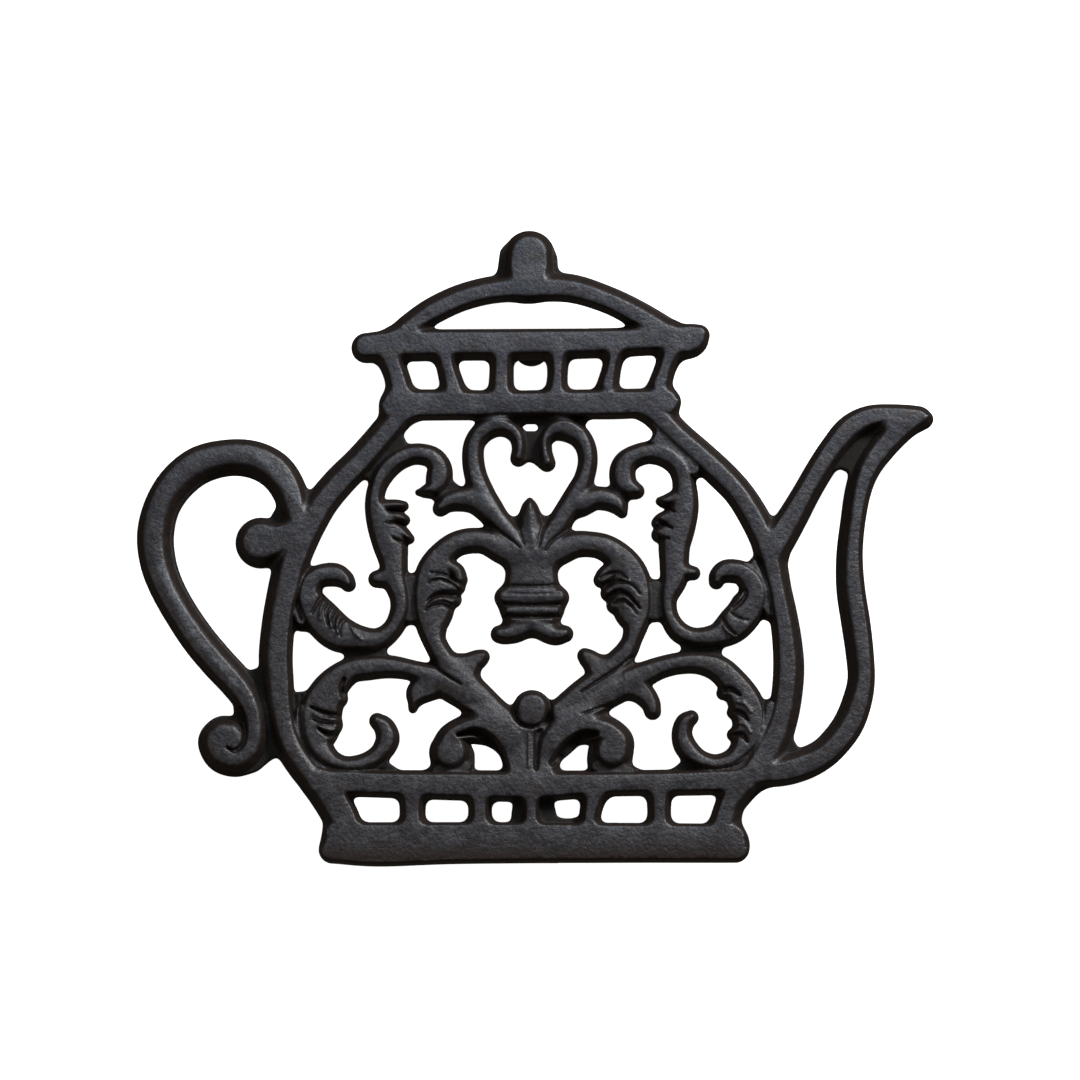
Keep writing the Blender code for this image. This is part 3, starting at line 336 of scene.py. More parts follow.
        (27, -21, 3.4), (26.2, -25, 2.5), (24.6, -28.5, 2.7), (21.5, -32, 3), (17.5, -35.8, 3.1),
        (11.9, -40, 3), (6.4, -44.8, 3)]),
    "leaf_right_lobe_1": ("lobe", [(21.5, -6, 2.2), (19, -8, 2.2), (17.8, -9.4, 1.9)]),
    "leaf_right_lobe_2": ("lobe", [(22, -11.5, 2.2), (19.9, -13, 2.1)]),
    "leaf_right_lobe_3": ("lobe", [(22.5, -15.5, 2.2), (21.4, -16.3, 2)]),
    "leaf_right_spur": ("lobe", [(19.5, -33, 3), (16.5, -32.3, 2.8), (14.5, -30.9, 2.4),
        (13.3, -29.9, 1.8)]),
    "leaf_right_spur_root": ("lobe", [(17.8, -35.4, 2.6), (15.8, -33.7, 2.2)]),
    "side_web_left": ("web", [(-33.7, -9.8, 1.2), (-33.7, -19.3, 1.4)]),
    "side_web_right": ("web", [(32.3, -11.3, 1.3), (32.3, -18.8, 1.4)]),
    # the lower scrolls
    "low_left": ("scroll", [(-3.5, -61, 4.5), (-5, -55, 4.8), (-8.5, -49.5, 5), (-13.1, -44.2, 4.4),
        (-17.7, -40.3, 4.8), (-22, -37.8, 4.7), (-27.5, -36, 3.5), (-33, -34, 2.6),
        (-39, -32.9, 2.8), (-45, -33, 3.2), (-50.4, -34.1, 3.3), (-55.2, -38.3, 4.3),
        (-57.8, -44, 5.4), (-58.2, -49, 5.2), (-58.6, -53.4, 3.6), (-56, -57.3, 2.7),
        (-52.5, -59.1, 2.2), (-49, -59.4, 2.3), (-45, -58.4, 2.5), (-41.8, -56, 2.6),
        (-40, -52.5, 2.95), (-40.8, -49.3, 2.6), (-42.8, -47.5, 1.9)]),
    "low_left_spur": ("lobe", [(-28, -38, 3.6), (-31.4, -39.6, 3.2), (-32.7, -42.3, 1.6),
        (-33.2, -44.2, 0.9)]),
    "low_left_lobe_1": ("lobe", [(-55, -41.5, 3), (-53, -41.5, 2)]),
    "low_left_lobe_2": ("lobe", [(-56, -48, 2.6), (-54.4, -48.6, 2)]),
    "low_left_web": ("web", [(-49, -29.3, 1.6), (-43, -29.2, 1.6)]),
    "low_left_curl_web": ("web", [(-42.5, -60, 1.8), (-39.6, -61.2, 1.5)]),
    "ball_left_web": ("web", [(-27.4, -61.4, 1.2), (-22.7, -60, 3), (-18.4, -59.4, 1.3),
        (-18, -56.8, 0.7)]),
    "rim_left_web_top": ("web", [(-63.3, -18, 2.2), (-63.2, -21.4, 1.5)]),
    "low_left_rim_web": ("web", [(-63.4, -41.6, 1.5), (-63.8, -49, 1.8), (-62, -54.5, 2),
        (-58.5, -59.5, 2)]),
    "ball_left": ("boss", [(-9, -50.5, 4.2), (-14, -49.4, 4.3), (-18.5, -49.8, 3.8),
        (-22.3, -52, 3.9), (-22.9, -56, 5.6)]),
    "low_right": ("scroll", [(2.2, -61, 3.4), (3.7, -55, 3.9), (7.5, -50, 4.6), (12, -45, 4.6),
        (17.5, -40.8, 4.3), (23, -38, 4), (28, -35.6, 3.4), (33.5, -33.2, 2.8), (39, -31.9, 2.7),
        (44.5, -31.8, 2.9), (49.5, -33.5, 3.4), (53.4, -37.3, 3.8), (56.5, -42.1, 4.4),
        (57.8, -46.5, 4.6), (57.6, -50.8, 4.2), (55.6, -55, 3), (52.8, -57.8, 2.5),
        (48.5, -59, 2.3), (44, -57.8, 2.5), (40.6, -54.6, 2.8), (39.5, -51, 2.5), (40.3, -48, 2.3),
        (42, -46.6, 1.75)]),
    "low_right_lobe_1": ("lobe", [(53, -39.5, 2.2), (50.7, -40, 1.6)]),
    "low_right_lobe_2": ("lobe", [(55, -45, 2.2), (53.3, -45.2, 1.4)]),
    "low_right_lobe_3": ("lobe", [(55.5, -50.5, 2.2), (53.4, -51.2, 1.5)]),
    "low_right_spur": ("lobe", [(25, -38, 3.5), (28.5, -39.7, 3), (30.9, -42.5, 2.4),
        (31.6, -44.9, 2)]),
    "low_right_web": ("web", [(42, -28.3, 1.6), (48, -28.2, 1.5)]),
    "low_right_curl_web": ("web", [(41.7, -59.8, 1.8), (39.4, -61, 1.5)]),
    "ball_right_web": ("web", [(15.9, -55.5, 1), (16.2, -59, 1.8), (21, -60, 3), (26, -61.3, 1.1)]),
    "rim_right_web_top": ("web", [(60.6, -6.8, 2), (59.6, -4.8, 1)]),
    "rim_right_web_low": ("web", [(63.3, -16, 2), (63.1, -18.4, 1.2)]),
    "spout_web_low": ("web", [(68, -55, 2)]),
    "low_right_rim_web": ("web", [(63, -44, 1.4), (62, -50, 1.9), (59, -56, 2.3)]),
    "ball_right": ("boss", [(6, -53, 4), (9.5, -50, 4.2), (14, -49.3, 4.2), (18.5, -50.3, 4.2),
        (21.5, -53, 4.6), (20.6, -55.6, 5.6)]),
    "button": ("boss", [(-1, -44.3, 4.9), (-1, -44.5, 4.9)]),
    "centre_stem": ("scroll", [(-0.9, -48, 3.6), (-0.9, -55, 2.6), (-0.9, -62, 2.6)]),
}

# the small eye left open between the heart and the collar
HEART_EYE = [(-2.2, 31.9, 0.65), (-0.4, 31.9, 0.65)]

# lines worked into the relief: (height change, [(x, y, half width) ...]) in millimetres
LINES = [
    # the groove of the handle's curl
    (-1.9, [(-79.3, -44.5, 0.8), (-78.2, -50, 0.9), (-78.8, -54, 0.9), (-81, -55.8, 0.8),
        (-83, -55, 0.5)]),
    # the left leaf: cuts and the ribs between them
    (-1, [(-28.4, -7.8, 0.4), (-25, -8.3, 0.6), (-22, -9.6, 0.7), (-19.8, -11.3, 0.7)]),
    (-0.88, [(-29, -10.8, 0.4), (-26, -9.8, 0.5), (-23, -10.6, 0.6), (-20.6, -12.4, 0.6)]),
    (-2.38, [(-29.2, -15.6, 0.5), (-27, -13.9, 0.9), (-24, -13.4, 1.1), (-20.6, -14.5, 1.2)]),
    (-1, [(-29.7, -18.2, 0.4), (-27.5, -16.9, 0.6), (-25, -16.6, 0.6), (-22.6, -17.7, 0.7)]),
    (0.75, [(-28.6, -9.4, 0.4), (-25.4, -9, 0.5), (-22.6, -10.1, 0.5)]),
    (0.9, [(-29.3, -16.9, 0.4), (-27.2, -15.4, 0.6), (-24.6, -15, 0.6), (-22.4, -15.8, 0.5)]),
    # the right leaf
    (-1.12, [(17.4, -9.3, 0.7), (20.3, -8, 0.8), (22.7, -8, 0.6), (24.6, -9.4, 0.4)]),
    (-1, [(18.9, -12, 0.7), (21.3, -10.7, 0.7), (24.2, -10.5, 0.6), (26.6, -11.7, 0.5),
        (28.1, -13.6, 0.4)]),
    (-2.12, [(19.6, -14.2, 1), (22.3, -12.9, 1), (24.7, -13.6, 0.8), (26.6, -15.6, 0.6),
        (28.1, -17.5, 0.4)]),
    (-1, [(20.9, -16.3, 0.7), (23.7, -15.6, 0.6), (25.7, -16.8, 0.6), (27.2, -19, 0.4)]),
    (0.75, [(19.8, -9.6, 0.5), (22.4, -9.2, 0.5), (25.2, -10.2, 0.4)]),
    (0.75, [(21.4, -14.7, 0.5), (24, -14.5, 0.5), (26.2, -16.4, 0.4)]),
    # the left volute's fan
    (-1.5, [(-57.2, -13.6, 0.8), (-59, -16.2, 0.7), (-60.3, -18.8, 0.4)]),
    (-1.25, [(-55.2, -15.6, 0.7), (-56.6, -18.6, 0.6), (-56, -21.9, 0.4)]),
    (-1.25, [(-52.9, -17.5, 0.7), (-54.4, -20.4, 0.6), (-54, -23.2, 0.4)]),
    (-1.12, [(-50.8, -19.7, 0.7), (-52.7, -22.1, 0.6), (-52.7, -24.9, 0.4)]),
    (0.9, [(-56, -14.6, 0.4), (-57.9, -17.4, 0.5), (-58.2, -20.6, 0.4)]),
    (0.9, [(-54, -16.8, 0.4), (-55.5, -19.4, 0.5), (-55, -22.6, 0.4)]),
    (0.9, [(-51.9, -18.8, 0.4), (-53.5, -21.2, 0.5), (-53.4, -24.2, 0.4)]),
    (0.75, [(-50, -21.8, 0.4), (-48.8, -24.2, 0.5), (-46.8, -26, 0.4)]),
    # the right volute's fan
    (-1.62, [(54.6, -10.6, 0.6), (56.6, -13, 0.9), (55.6, -15.6, 0.9), (53.2, -17.6, 0.8)]),
    (-1.25, [(50.2, -19.7, 0.8), (51.5, -22, 0.7), (54, -24.6, 0.4)]),
    (-0.88, [(52.6, -18.6, 0.5), (55, -20.2, 0.5), (57.4, -20.6, 0.3)]),
    (0.9, [(50.6, -22.2, 0.4), (52, -24, 0.5), (54, -25.4, 0.4)]),
    # the lower left scroll's fan
    (-1.62, [(-51.6, -36.6, 0.9), (-52.4, -38.8, 1), (-52, -41.2, 0.9)]),
    (-1.75, [(-60.6, -44, 0.5), (-57.5, -45.3, 0.8), (-54.8, -46, 0.9), (-52.2, -46.4, 0.9)]),
    (-0.88, [(-59.8, -47.6, 0.4), (-57, -48.6, 0.5), (-53, -48.7, 0.5)]),
    (-1.88, [(-58.4, -50, 0.5), (-55.5, -51.5, 1), (-52.4, -51.7, 1.1)]),
    (0.9, [(-59.8, -46, 0.4), (-57, -47.1, 0.5), (-53.4, -47.5, 0.5)]),
    (0.75, [(-58.6, -49, 0.4), (-56, -50.1, 0.5), (-53.2, -50.1, 0.5)]),
    # the lower right scroll's cuts
    (-1.88, [(49.8, -39.8, 1), (52.5, -39.3, 1.1), (55, -40.8, 0.6)]),
    (-1.88, [(52.4, -45.2, 1), (55.3, -45.7, 1.1), (57.2, -47.6, 0.5)]),
    (-1.88, [(52.6, -51.4, 1), (55.6, -51.6, 1.1), (57, -53.4, 0.5)]),
    (0.75, [(54.2, -42.6, 0.4), (56.4, -43.4, 0.5), (58, -45.4, 0.4)]),
    (0.75, [(54.6, -48.4, 0.4), (56.6, -49, 0.5), (57.8, -51, 0.4)]),
    # the upper scrolls' lobes
    (-1.62, [(-40.2, 9.2, 0.4), (-37.8, 9.3, 0.6), (-35.2, 9, 0.7)]),
    (-1.88, [(-40.4, 5.6, 0.4), (-37.8, 5.8, 0.7), (-34.6, 5.2, 0.9)]),
    (-1.38, [(-38.6, 1.6, 0.4), (-36.2, 0.4, 0.8), (-34.6, -0.6, 0.9)]),
    (-2, [(33.6, 11, 0.8), (35.6, 10.1, 0.8), (37.4, 8.6, 0.4)]),
    (-2, [(32.2, 6.6, 0.9), (34.6, 5.5, 0.8), (36.8, 4.2, 0.4)]),
    (-1.5, [(32, 2.8, 0.9), (34, 1.6, 0.7), (36, 1.4, 0.4)]),
    # grooves where neighbouring strokes meet
    (-1.5, [(-28.4, -31.3, 0.4), (-26.2, -33.8, 0.6), (-23.2, -36, 0.6), (-20.2, -37.9, 0.4)]),
    (-1.6, [(26, -30.4, 0.5), (21.3, -34.1, 0.6), (16.9, -37, 0.6), (12.2, -40, 0.4)]),
    (-1.3, [(20.5, -43.3, 0.9), (16, -44.7, 0.6), (12.4, -46, 0.3)]),
    (-1.0, [(-60.4, -4.6, 0.5), (-63.3, -10.4, 0.6), (-64.3, -16.5, 0.6), (-63.4, -20.4, 0.5)]),
    (-1.0, [(60.2, -5.4, 0.5), (62.2, -9.4, 0.6), (63.5, -14.4, 0.6), (63.8, -18.6, 0.5)]),
    (-0.8, [(-63.2, -40.6, 0.5), (-63.7, -45.4, 0.5), (-63.1, -51.8, 0.5), (-60.2, -57, 0.5),
        (-55.7, -60.1, 0.5), (-49.4, -61, 0.5), (-41, -60.5, 0.5)]),
    (-0.5, [(62.4, -41.2, 0.5), (61.5, -46, 0.5), (60.6, -51, 0.4)]),
    (-0.8, [(58.6, -55.2, 0.4), (55, -59.3, 0.5), (48.5, -60.8, 0.5), (41, -60.4, 0.5)]),
    (-1.2, [(-14, 34.5, 0.5), (-8, 34.9, 0.5), (6, 34.8, 0.5), (12, 34.3, 0.5)]),
    (-1.3, [(-12.4, 5.4, 0.7), (-9, 2.8, 0.6), (-6.2, 0.7, 0.5), (-4.2, -1.2, 0.3)]),
    (-1.7, [(10, 5.2, 0.7), (6.7, 2.6, 0.7), (4.3, 0.6, 0.6), (2.6, -1.8, 0.4)]),
    # the worn inner side of the rim, low on the left
    (-0.7, [(-65.4, -41, 1.6), (-64.3, -48, 2.3), (-62.2, -54.5, 2.3), (-59, -60, 1.6)]),
    # the bud's leaflets
    (-1, [(-4.8, 5.6, 0.5), (-4.1, 2.6, 0.5), (-3.1, -0.4, 0.4)]),
    (-1, [(1.9, 5, 0.5), (1.2, 2.2, 0.5), (0.7, -1, 0.4)]),
    (0.5, [(4, 6, 0.4), (2.6, 2.6, 0.5), (1.7, -0.8, 0.4)]),
    # the vase's bands
    (-1.0, [(-8.6, -11.2, 0.6), (-1, -11.5, 0.6), (6.4, -11.1, 0.6)]),
    (-0.5, [(-8.4, -13.4, 0.4), (-1, -13.7, 0.4), (6.6, -13.4, 0.4)]),
    (-1.4, [(-8.2, -16.2, 0.6), (-1, -16.5, 0.6), (6.2, -16.1, 0.6)]),
    (-1.5, [(-8, -19.5, 0.7), (-1, -19.7, 0.7), (6, -19.4, 0.7)]),
    # the lower stems: walls under the arms, then the groove and rib below the button
    (-4, [(-20.8, -51.5, 0.8), (-16.4, -50.8, 1.6), (-12.6, -52.6, 1.9), (-9.7, -56.5, 1.8),
        (-8.5, -60, 1.5)]),
    (-4, [(4.6, -59, 1.3), (8, -54.8, 1.8), (12.5, -51.8, 1.9), (16.2, -51.2, 1.1)]),
    (-1.9, [(0.8, -50.8, 1.8), (0.5, -53, 1.5), (0.3, -56, 1.2), (0.1, -60.5, 0.9)]),
    (0.5, [(-1.9, -51.5, 0.5), (-1.9, -55, 0.6), (-1.9, -60, 0.5)]),
]
# metal that fills the gap where two members touch: height, then (x, y, half width)
JOINS = [
    (6.1, [(31.4, 30, 2.4), (35.6, 28, 3), (39.2, 24.3, 2.9), (42.4, 20.4, 1.9)]),
    (5.3, [(57, -3.5, 1.3), (59.8, -8, 1.8), (62.2, -14, 2), (63.2, -18, 1.4)]),
    (5.9, [(63.2, -43.8, 1.5), (63.4, -47, 2), (63.2, -51, 2.4), (60.5, -56.5, 2.4), (55, -60.4, 2),
        (48, -61.8, 1.5)]),
    (5.6, [(-62.8, -45, 1.7), (-62.6, -50, 2.2), (-60.8, -55.5, 2.2), (-57, -60, 2),
        (-50, -62.4, 1.7), (-43.5, -62.4, 1.3)]),
    (5.0, [(-64.6, -10, 1.4), (-64.6, -16, 1.8), (-63.4, -20.5, 1.4)]),
    (4.1, [(-33.7, -10.5, 2.3), (-33.7, -18.6, 2.4)]),
    (4.1, [(32.3, -12, 2.3), (32.3, -18.2, 2.4)]),
    (4.6, [(-26.5, -61.2, 1.4), (-22.7, -60.8, 2.2), (-18.8, -60, 1.4)]),
    (4.6, [(16.6, -59.8, 1.6), (21, -60.6, 2.2), (25.5, -61.2, 1.2)]),
]
# painted highlight streaks along the crests that face the key light: start, end, half width in
# millimetres
HIGHLIGHT_STREAKS = [
    ((-101.0, -6.0), (-92.5, -23.5), 1.5),
    ((-92.5, -23.5), (-80.5, -37.5), 1.1),
    ((-74.5, 24.5), (-62.5, 11.0), 1.6),
    ((-65.2, -42.0), (-63.4, -52.5), 1.0),
    ((-63.4, -52.5), (-58.5, -61.0), 1.4),
    ((-16.6, 20.0), (-13.6, 13.5), 1.2),
    ((-13.6, 13.5), (-4.6, 1.8), 0.8),
    ((50.5, 22.8), (59.3, 12.2), 0.8),
    ((60.3, -6.5), (62.3, -12.5), 1.0),
]
# ring grooves: (depth, middle x, middle y, radius, half width) in millimetres
RINGS = [
    (-2.0, -1.1, -44.3, 5.1, 0.9),
]


# ---- strokes


def smooth_line(points):
    """Points every STROKE_STEP along a Catmull-Rom curve through the given (x, y, half width)."""
    given = np.array(points, dtype=float)
    given[:, 1] *= LENGTHWISE_STRETCH
    if len(given) == 1:
        return given
    padded = np.vstack([2 * given[0] - given[1], given, 2 * given[-1] - given[-2]])
    pieces = []
    for before, start, end, after in zip(padded, padded[1:], padded[2:], padded[3:]):
        count = max(2, int(math.hypot(*(end - start)[:2]) / STROKE_STEP) + 1)
        t = np.linspace(0.0, 1.0, count, endpoint=False)[:, None]
        linear = (end - before) * t
        square = (2 * before - 5 * start + 4 * end - after) * t ** 2
        cubic = (3 * start - before - 3 * end + after) * t ** 3
        pieces.append(0.5 * (2 * start + linear + square + cubic))
    return np.vstack(pieces + [given[-1:]])


def across(x, y, line, allowance=CASTING_ALLOWANCE):
    """Depth inside a stroke's edge, its half width there, and whether the place is to its left."""
    depth = np.full(x.shape, FAR_OUTSIDE)
    width = np.ones(x.shape)
    on_left = np.zeros(x.shape, dtype=bool)
    along = np.gradient(line[:, :2], axis=0) if len(line) > 1 else np.zeros((1, 2))
    for start in range(0, x.shape[0], ROWS_AT_ONCE):
        rows = slice(start, start + ROWS_AT_ONCE)
        distance = np.hypot(x[rows, :, None] - line[:, 0], y[rows, :, None] - line[:, 1])
        inside = line[:, 2] + allowance - distance
        nearest = inside.argmax(axis=-1)
        depth[rows] = np.take_along_axis(inside, nearest[..., None], axis=-1)[..., 0]
        width[rows] = line[nearest, 2] + allowance
        sideways_x, sideways_y = x[rows] - line[nearest, 0], y[rows] - line[nearest, 1]
        on_left[rows] = along[nearest, 0] * sideways_y > along[nearest, 1] * sideways_x
    return depth, width, on_left


def ring(centre, radius):
    angles = [2 * math.pi * k / ROUND_SIDES for k in range(ROUND_SIDES)]
    return [(centre[0] + radius * math.cos(a), centre[1] + radius * math.sin(a)) for a in angles]


def round_line(x, y, radius, half_width):
    """The points of a closed round stroke."""
    return np.array([(*place, half_width) for place in ring((x, y * LENGTHWISE_STRETCH), radius)])


def eased(share):
    """A share from 0 to 1 that starts and ends without a corner."""
    return share * share * (3 - 2 * share)


def soft_max(first, second, blend_size):
    blend = np.clip(0.5 + 0.5 * (first - second) / blend_size, 0.0, 1.0)
    return second * (1 - blend) + first * blend + blend_size * blend * (1 - blend)


def soft_min(first, second, blend_size):
    return -soft_max(-first, -second, blend_size)


def value_noise(x, y, size, seed):
    """Smooth lumps between -1 and 1, about one size apart."""
    lattice = np.random.default_rng(seed).uniform(-1.0, 1.0, (LATTICE, LATTICE))
    u, v = x / size + LATTICE / 2, y / size + LATTICE / 2
    column, row = np.floor(u).astype(int), np.floor(v).astype(int)
    fx, fy = eased(u - column), eased(v - row)
    column, row = column % (LATTICE - 1), row % (LATTICE - 1)
    low = lattice[row, column] * (1 - fx) + lattice[row, column + 1] * fx
    high = lattice[row + 1, column] * (1 - fx) + lattice[row + 1, column + 1] * fx
    return low * (1 - fy) + high * fy


class Relief:
    """The casting's outline depth and its surface height on a fine square grid."""

    def __init__(self):
        self.lines = {name: smooth_line(points) for name, (_, points) in STROKES.items()}
        places = np.vstack(list(self.lines.values()))
        margin = places[:, 2].max() + FIELD_REACH
        low = places[:, :2].min(axis=0) - margin
        high = places[:, :2].max(axis=0) + margin
        self.xs = np.arange(low[0], high[0], CELL)
        self.ys = np.arange(low[1], high[1], CELL)
        shape = (len(self.ys), len(self.xs))
        self.plate = np.full(shape, FAR_OUTSIDE)
        self.relief = np.full(shape, FAR_OUTSIDE)
        self.crown = np.zeros(shape)
        self.steepness = np.ones(shape)
        for name, (family, _) in STROKES.items():
            self.add(name, family)
        eye = smooth_line(HEART_EYE)
        where, x, y = self.window(eye)
        self.plate[where] = np.minimum(self.plate[where], -across(x, y, eye)[0])
        self.height = self.surface()

    def window(self, line):
        margin = line[:, 2].max() + FIELD_REACH
        low, high = line[:, :2].min(axis=0) - margin, line[:, :2].max(axis=0) + margin
        columns = slice(*np.searchsorted(self.xs, [low[0], high[0]]))
        rows = slice(*np.searchsorted(self.ys, [low[1], high[1]]))
        x, y = np.meshgrid(self.xs[columns], self.ys[rows])
        return (rows, columns), x, y

    def add(self, name, family):
        line = self.lines[name]
        where, x, y = self.window(line)
        depth, width, on_left = across(x, y, line)
        fillet = SHARP_FILLET if family == "lobe" else FILLET
        self.plate[where] = soft_max(self.plate[where], depth, fillet)
        if family == "web":
            return
        left, right = WALL_WIDTHS.get(name, WALL_WIDTHS.get(family, USUAL_WALL_WIDTHS))
        steepness = (RIM_HEIGHT - EDGE_HEIGHT) / np.where(on_left, left, right)
        share = np.clip(0.5 + 0.5 * (depth - self.relief[where]) / fillet, 0.0, 1.0)
        self.steepness[where] += share * (steepness - self.steepness[where])
        self.relief[where] = soft_max(self.relief[where], depth, fillet)
        top, fall, power = CROWNS[family]
        outward = np.clip(1.0 - depth / width, 0.0, OVERHANG)
        self.crown[where] = soft_max(self.crown[where], top - fall * outward ** power, CROWN_BLEND)

    def surface(self):
        """Height above the plate's back: draft walls, crowns and webs, with the lines worked in."""
        relief = soft_min(EDGE_HEIGHT + self.steepness * self.relief, self.crown, SHOULDER)
        web_walls = EDGE_HEIGHT + self.steepness.max() * self.plate
        webs = soft_min(web_walls, np.full_like(web_walls, WEB_HEIGHT), SHOULDER)
        height = soft_max(relief, webs, WEB_BLEND)
        for top, points in JOINS:
            line = smooth_line(points)
            where, x, y = self.window(line)
            share = eased(np.clip(0.5 + across(x, y, line)[0] / JOIN_FADE, 0.0, 1.0))
            level = soft_min(web_walls[where], np.full_like(x, top), SHOULDER)
            level = EDGE_HEIGHT + (level - EDGE_HEIGHT) * share
            height[where] = soft_max(height[where], level, WEB_BLEND)
        lines = [(change, smooth_line(points)) for change, points in LINES]
        lines += [(change, round_line(*place)) for change, *place in RINGS]
        for change, line in lines:
            where, x, y = self.window(line)
            inside, width, _ = across(x, y, line, 0.0)
            height[where] += change * eased(np.clip(inside / width, 0.0, 1.0))
        x, y = np.meshgrid(self.xs, self.ys)
        firm = np.clip((self.plate - LUMP_FADE[0]) / LUMP_FADE[1], 0.0, 1.0)
        for size, amount, seed in LUMPS:
            height += amount * firm * value_noise(x, y, size, seed)
        return np.maximum(height, EDGE_HEIGHT)


# ---- the casting's mesh


def surface_mesh(field):
    """Vertices and polygons over the cells of the grid that lie inside the outline."""
    inside = field.plate > 0
    vertices, heights, numbers = [], [], {}

    def grid_vertex(row, column):
        key = (row, column)
        if key not in numbers:
            numbers[key] = len(vertices)
            vertices.append((field.xs[column], field.ys[row]))
            heights.append(field.height[row, column])
        return numbers[key]

    def edge_vertex(row, column, along_x):
        key = (row, column, along_x)
        if key not in numbers:
            row_2, column_2 = (row, column + 1) if along_x else (row + 1, column)
            first, second = field.plate[row, column], field.plate[row_2, column_2]
            share = min(max(first / (first - second), EDGE_CLEARANCE), 1 - EDGE_CLEARANCE)
            x = field.xs[column] + share * (field.xs[column_2] - field.xs[column])
            y = field.ys[row] + share * (field.ys[row_2] - field.ys[row])
            numbers[key] = len(vertices)
            vertices.append((x, y))
            heights.append(EDGE_HEIGHT)
        return numbers[key]

    faces = []
    count = (inside[:-1, :-1].astype(int) + inside[1:, :-1] + inside[:-1, 1:] + inside[1:, 1:])
    for row, column in zip(*(index.tolist() for index in np.nonzero(count))):
        corners = ((row, column), (row, column + 1), (row + 1, column + 1), (row + 1, column))
        sides = ((row, column, True), (row, column + 1, False),
                 (row + 1, column, True), (row, column, False))
        if count[row, column] == 4:
            faces.append([grid_vertex(*corner) for corner in corners])
            continue
        walk = []
        for k in range(4):
            here, onward = inside[corners[k]], inside[corners[(k + 1) % 4]]
            if here:
                walk.append(grid_vertex(*corners[k]))
            if here != onward:
                walk.append(edge_vertex(*sides[k]))
        diagonal = count[row, column] == 2 and inside[corners[0]] == inside[corners[2]]
        faces.extend(split_diagonal(walk, bool(inside[corners[0]])) if diagonal else [walk])
    return np.array(vertices), np.array(heights), faces


def neighbours(loop):
    return zip(loop, loop[1:] + loop[:1])


def split_diagonal(walk, first_inside):
    """A cell whose two inside corners face each other becomes two triangles."""
    if first_inside:
        return [[walk[0], walk[1], walk[5]], [walk[2], walk[3], walk[4]]]
    return [[walk[0], walk[1], walk[2]], [walk[3], walk[4], walk[5]]]


def closed_loops(faces):
    """The outline loops, found from the edges that only one face uses."""
    used = set()
    for face in faces:
        used.update(neighbours(face))
    onward = {start: end for start, end in used if (end, start) not in used}
    loops = []
    while onward:
        start = next(iter(onward))
        loop = [start]
        while onward[loop[-1]] != start:
            loop.append(onward[loop[-1]])
        for vertex in loop:
            onward.pop(vertex)
        loops.append(loop)
    return loops


def back_faces(points, loops):
    """Triangles over the flat back, inside the loops: flooded in from the hull."""
    edges = [edge for loop in loops for edge in neighbours(loop)]
    walls = {frozenset(edge) for edge in edges}
    _, _, faces, origins, _, _ = delaunay_2d_cdt(points, edges, [], 0, MERGE_DISTANCE)
    original = [min(old) for old in origins]
    faces = [[original[corner] for corner in face] for face in faces]
    sides = {}
    for index, face in enumerate(faces):
        for side in neighbours(face):
            sides.setdefault(frozenset(side), []).append(index)
    is_inside = {}
    waiting = []
    for side, users in sides.items():
        if len(users) == 1 and users[0] not in is_inside:
            is_inside[users[0]] = side in walls
            waiting.append(users[0])
    while waiting:
        index = waiting.pop()
        for side in map(frozenset, neighbours(faces[index])):
            for other in sides[side]:
                if other not in is_inside:
                    is_inside[other] = is_inside[index] != (side in walls)
                    waiting.append(other)
    return [turned_down(face, points) for index, face in enumerate(faces) if is_inside[index]]


def turned_down(face, points):
    """The face's corners in clockwise order, so that it looks down."""
    (ax, ay), (bx, by), (cx, cy) = (points[corner] for corner in face)
    return face[::-1] if (bx - ax) * (cy - ay) > (cx - ax) * (by - ay) else face


def add_ring(points, centre, radius, z):
    """Adds a ring of points at a height and gives their numbers."""
    first = len(points)
    points += [(x, y, z) for x, y in ring(centre, radius)]
    return list(range(first, len(points)))


def band(below, above):
    """The faces between two rings of points."""
    sides = zip(neighbours(below), neighbours(above))
    return [[upper_2, upper, lower, lower_2] for (lower, lower_2), (upper, upper_2) in sides]


def build_casting(feet):
    field = Relief()
    plan, heights, faces = surface_mesh(field)
    plan = plan + MIDDLE_XY - 0.5 * (plan.min(axis=0) + plan.max(axis=0))
    loops = closed_loops(faces)
    rim = [vertex for loop in loops for vertex in loop]
    back_of = {vertex: len(plan) + k for k, vertex in enumerate(rim)}
    points = [(x, y, PLATE_BACK + z) for (x, y), z in zip(plan, heights)]
    points += [(*plan[vertex], PLATE_BACK) for vertex in rim]
    for loop in loops:
        faces += [[after, here, back_of[here], back_of[after]] for here, after in neighbours(loop)]
    flat = [tuple(plan[vertex]) for vertex in rim]
    flat_number = [back_of[vertex] for vertex in rim]
    starts = np.cumsum([0] + [len(loop) for loop in loops])
    flat_loops = [list(range(start, end)) for start, end in zip(starts, starts[1:])]
    for centre in feet.values():
        flat_loops.append(list(range(len(flat), len(flat) + ROUND_SIDES)))
        flat += ring(centre, PEG_ROOT_RADIUS)
        root = add_ring(points, centre, PEG_ROOT_RADIUS, PLATE_BACK)
        flat_number += root
        faces += peg_faces(points, centre, root)
    faces += [[flat_number[corner] for corner in face] for face in back_faces(flat, flat_loops)]
    casting = mesh_object("casting", points, faces, iron_material())
    thin = casting.modifiers.new("thin", "DECIMATE")
    triangles = sum(len(face) - 2 for face in faces)
    thin.ratio = min(1.0, TRIANGLES_KEPT / triangles)
    apply_modifiers(casting)
    return casting


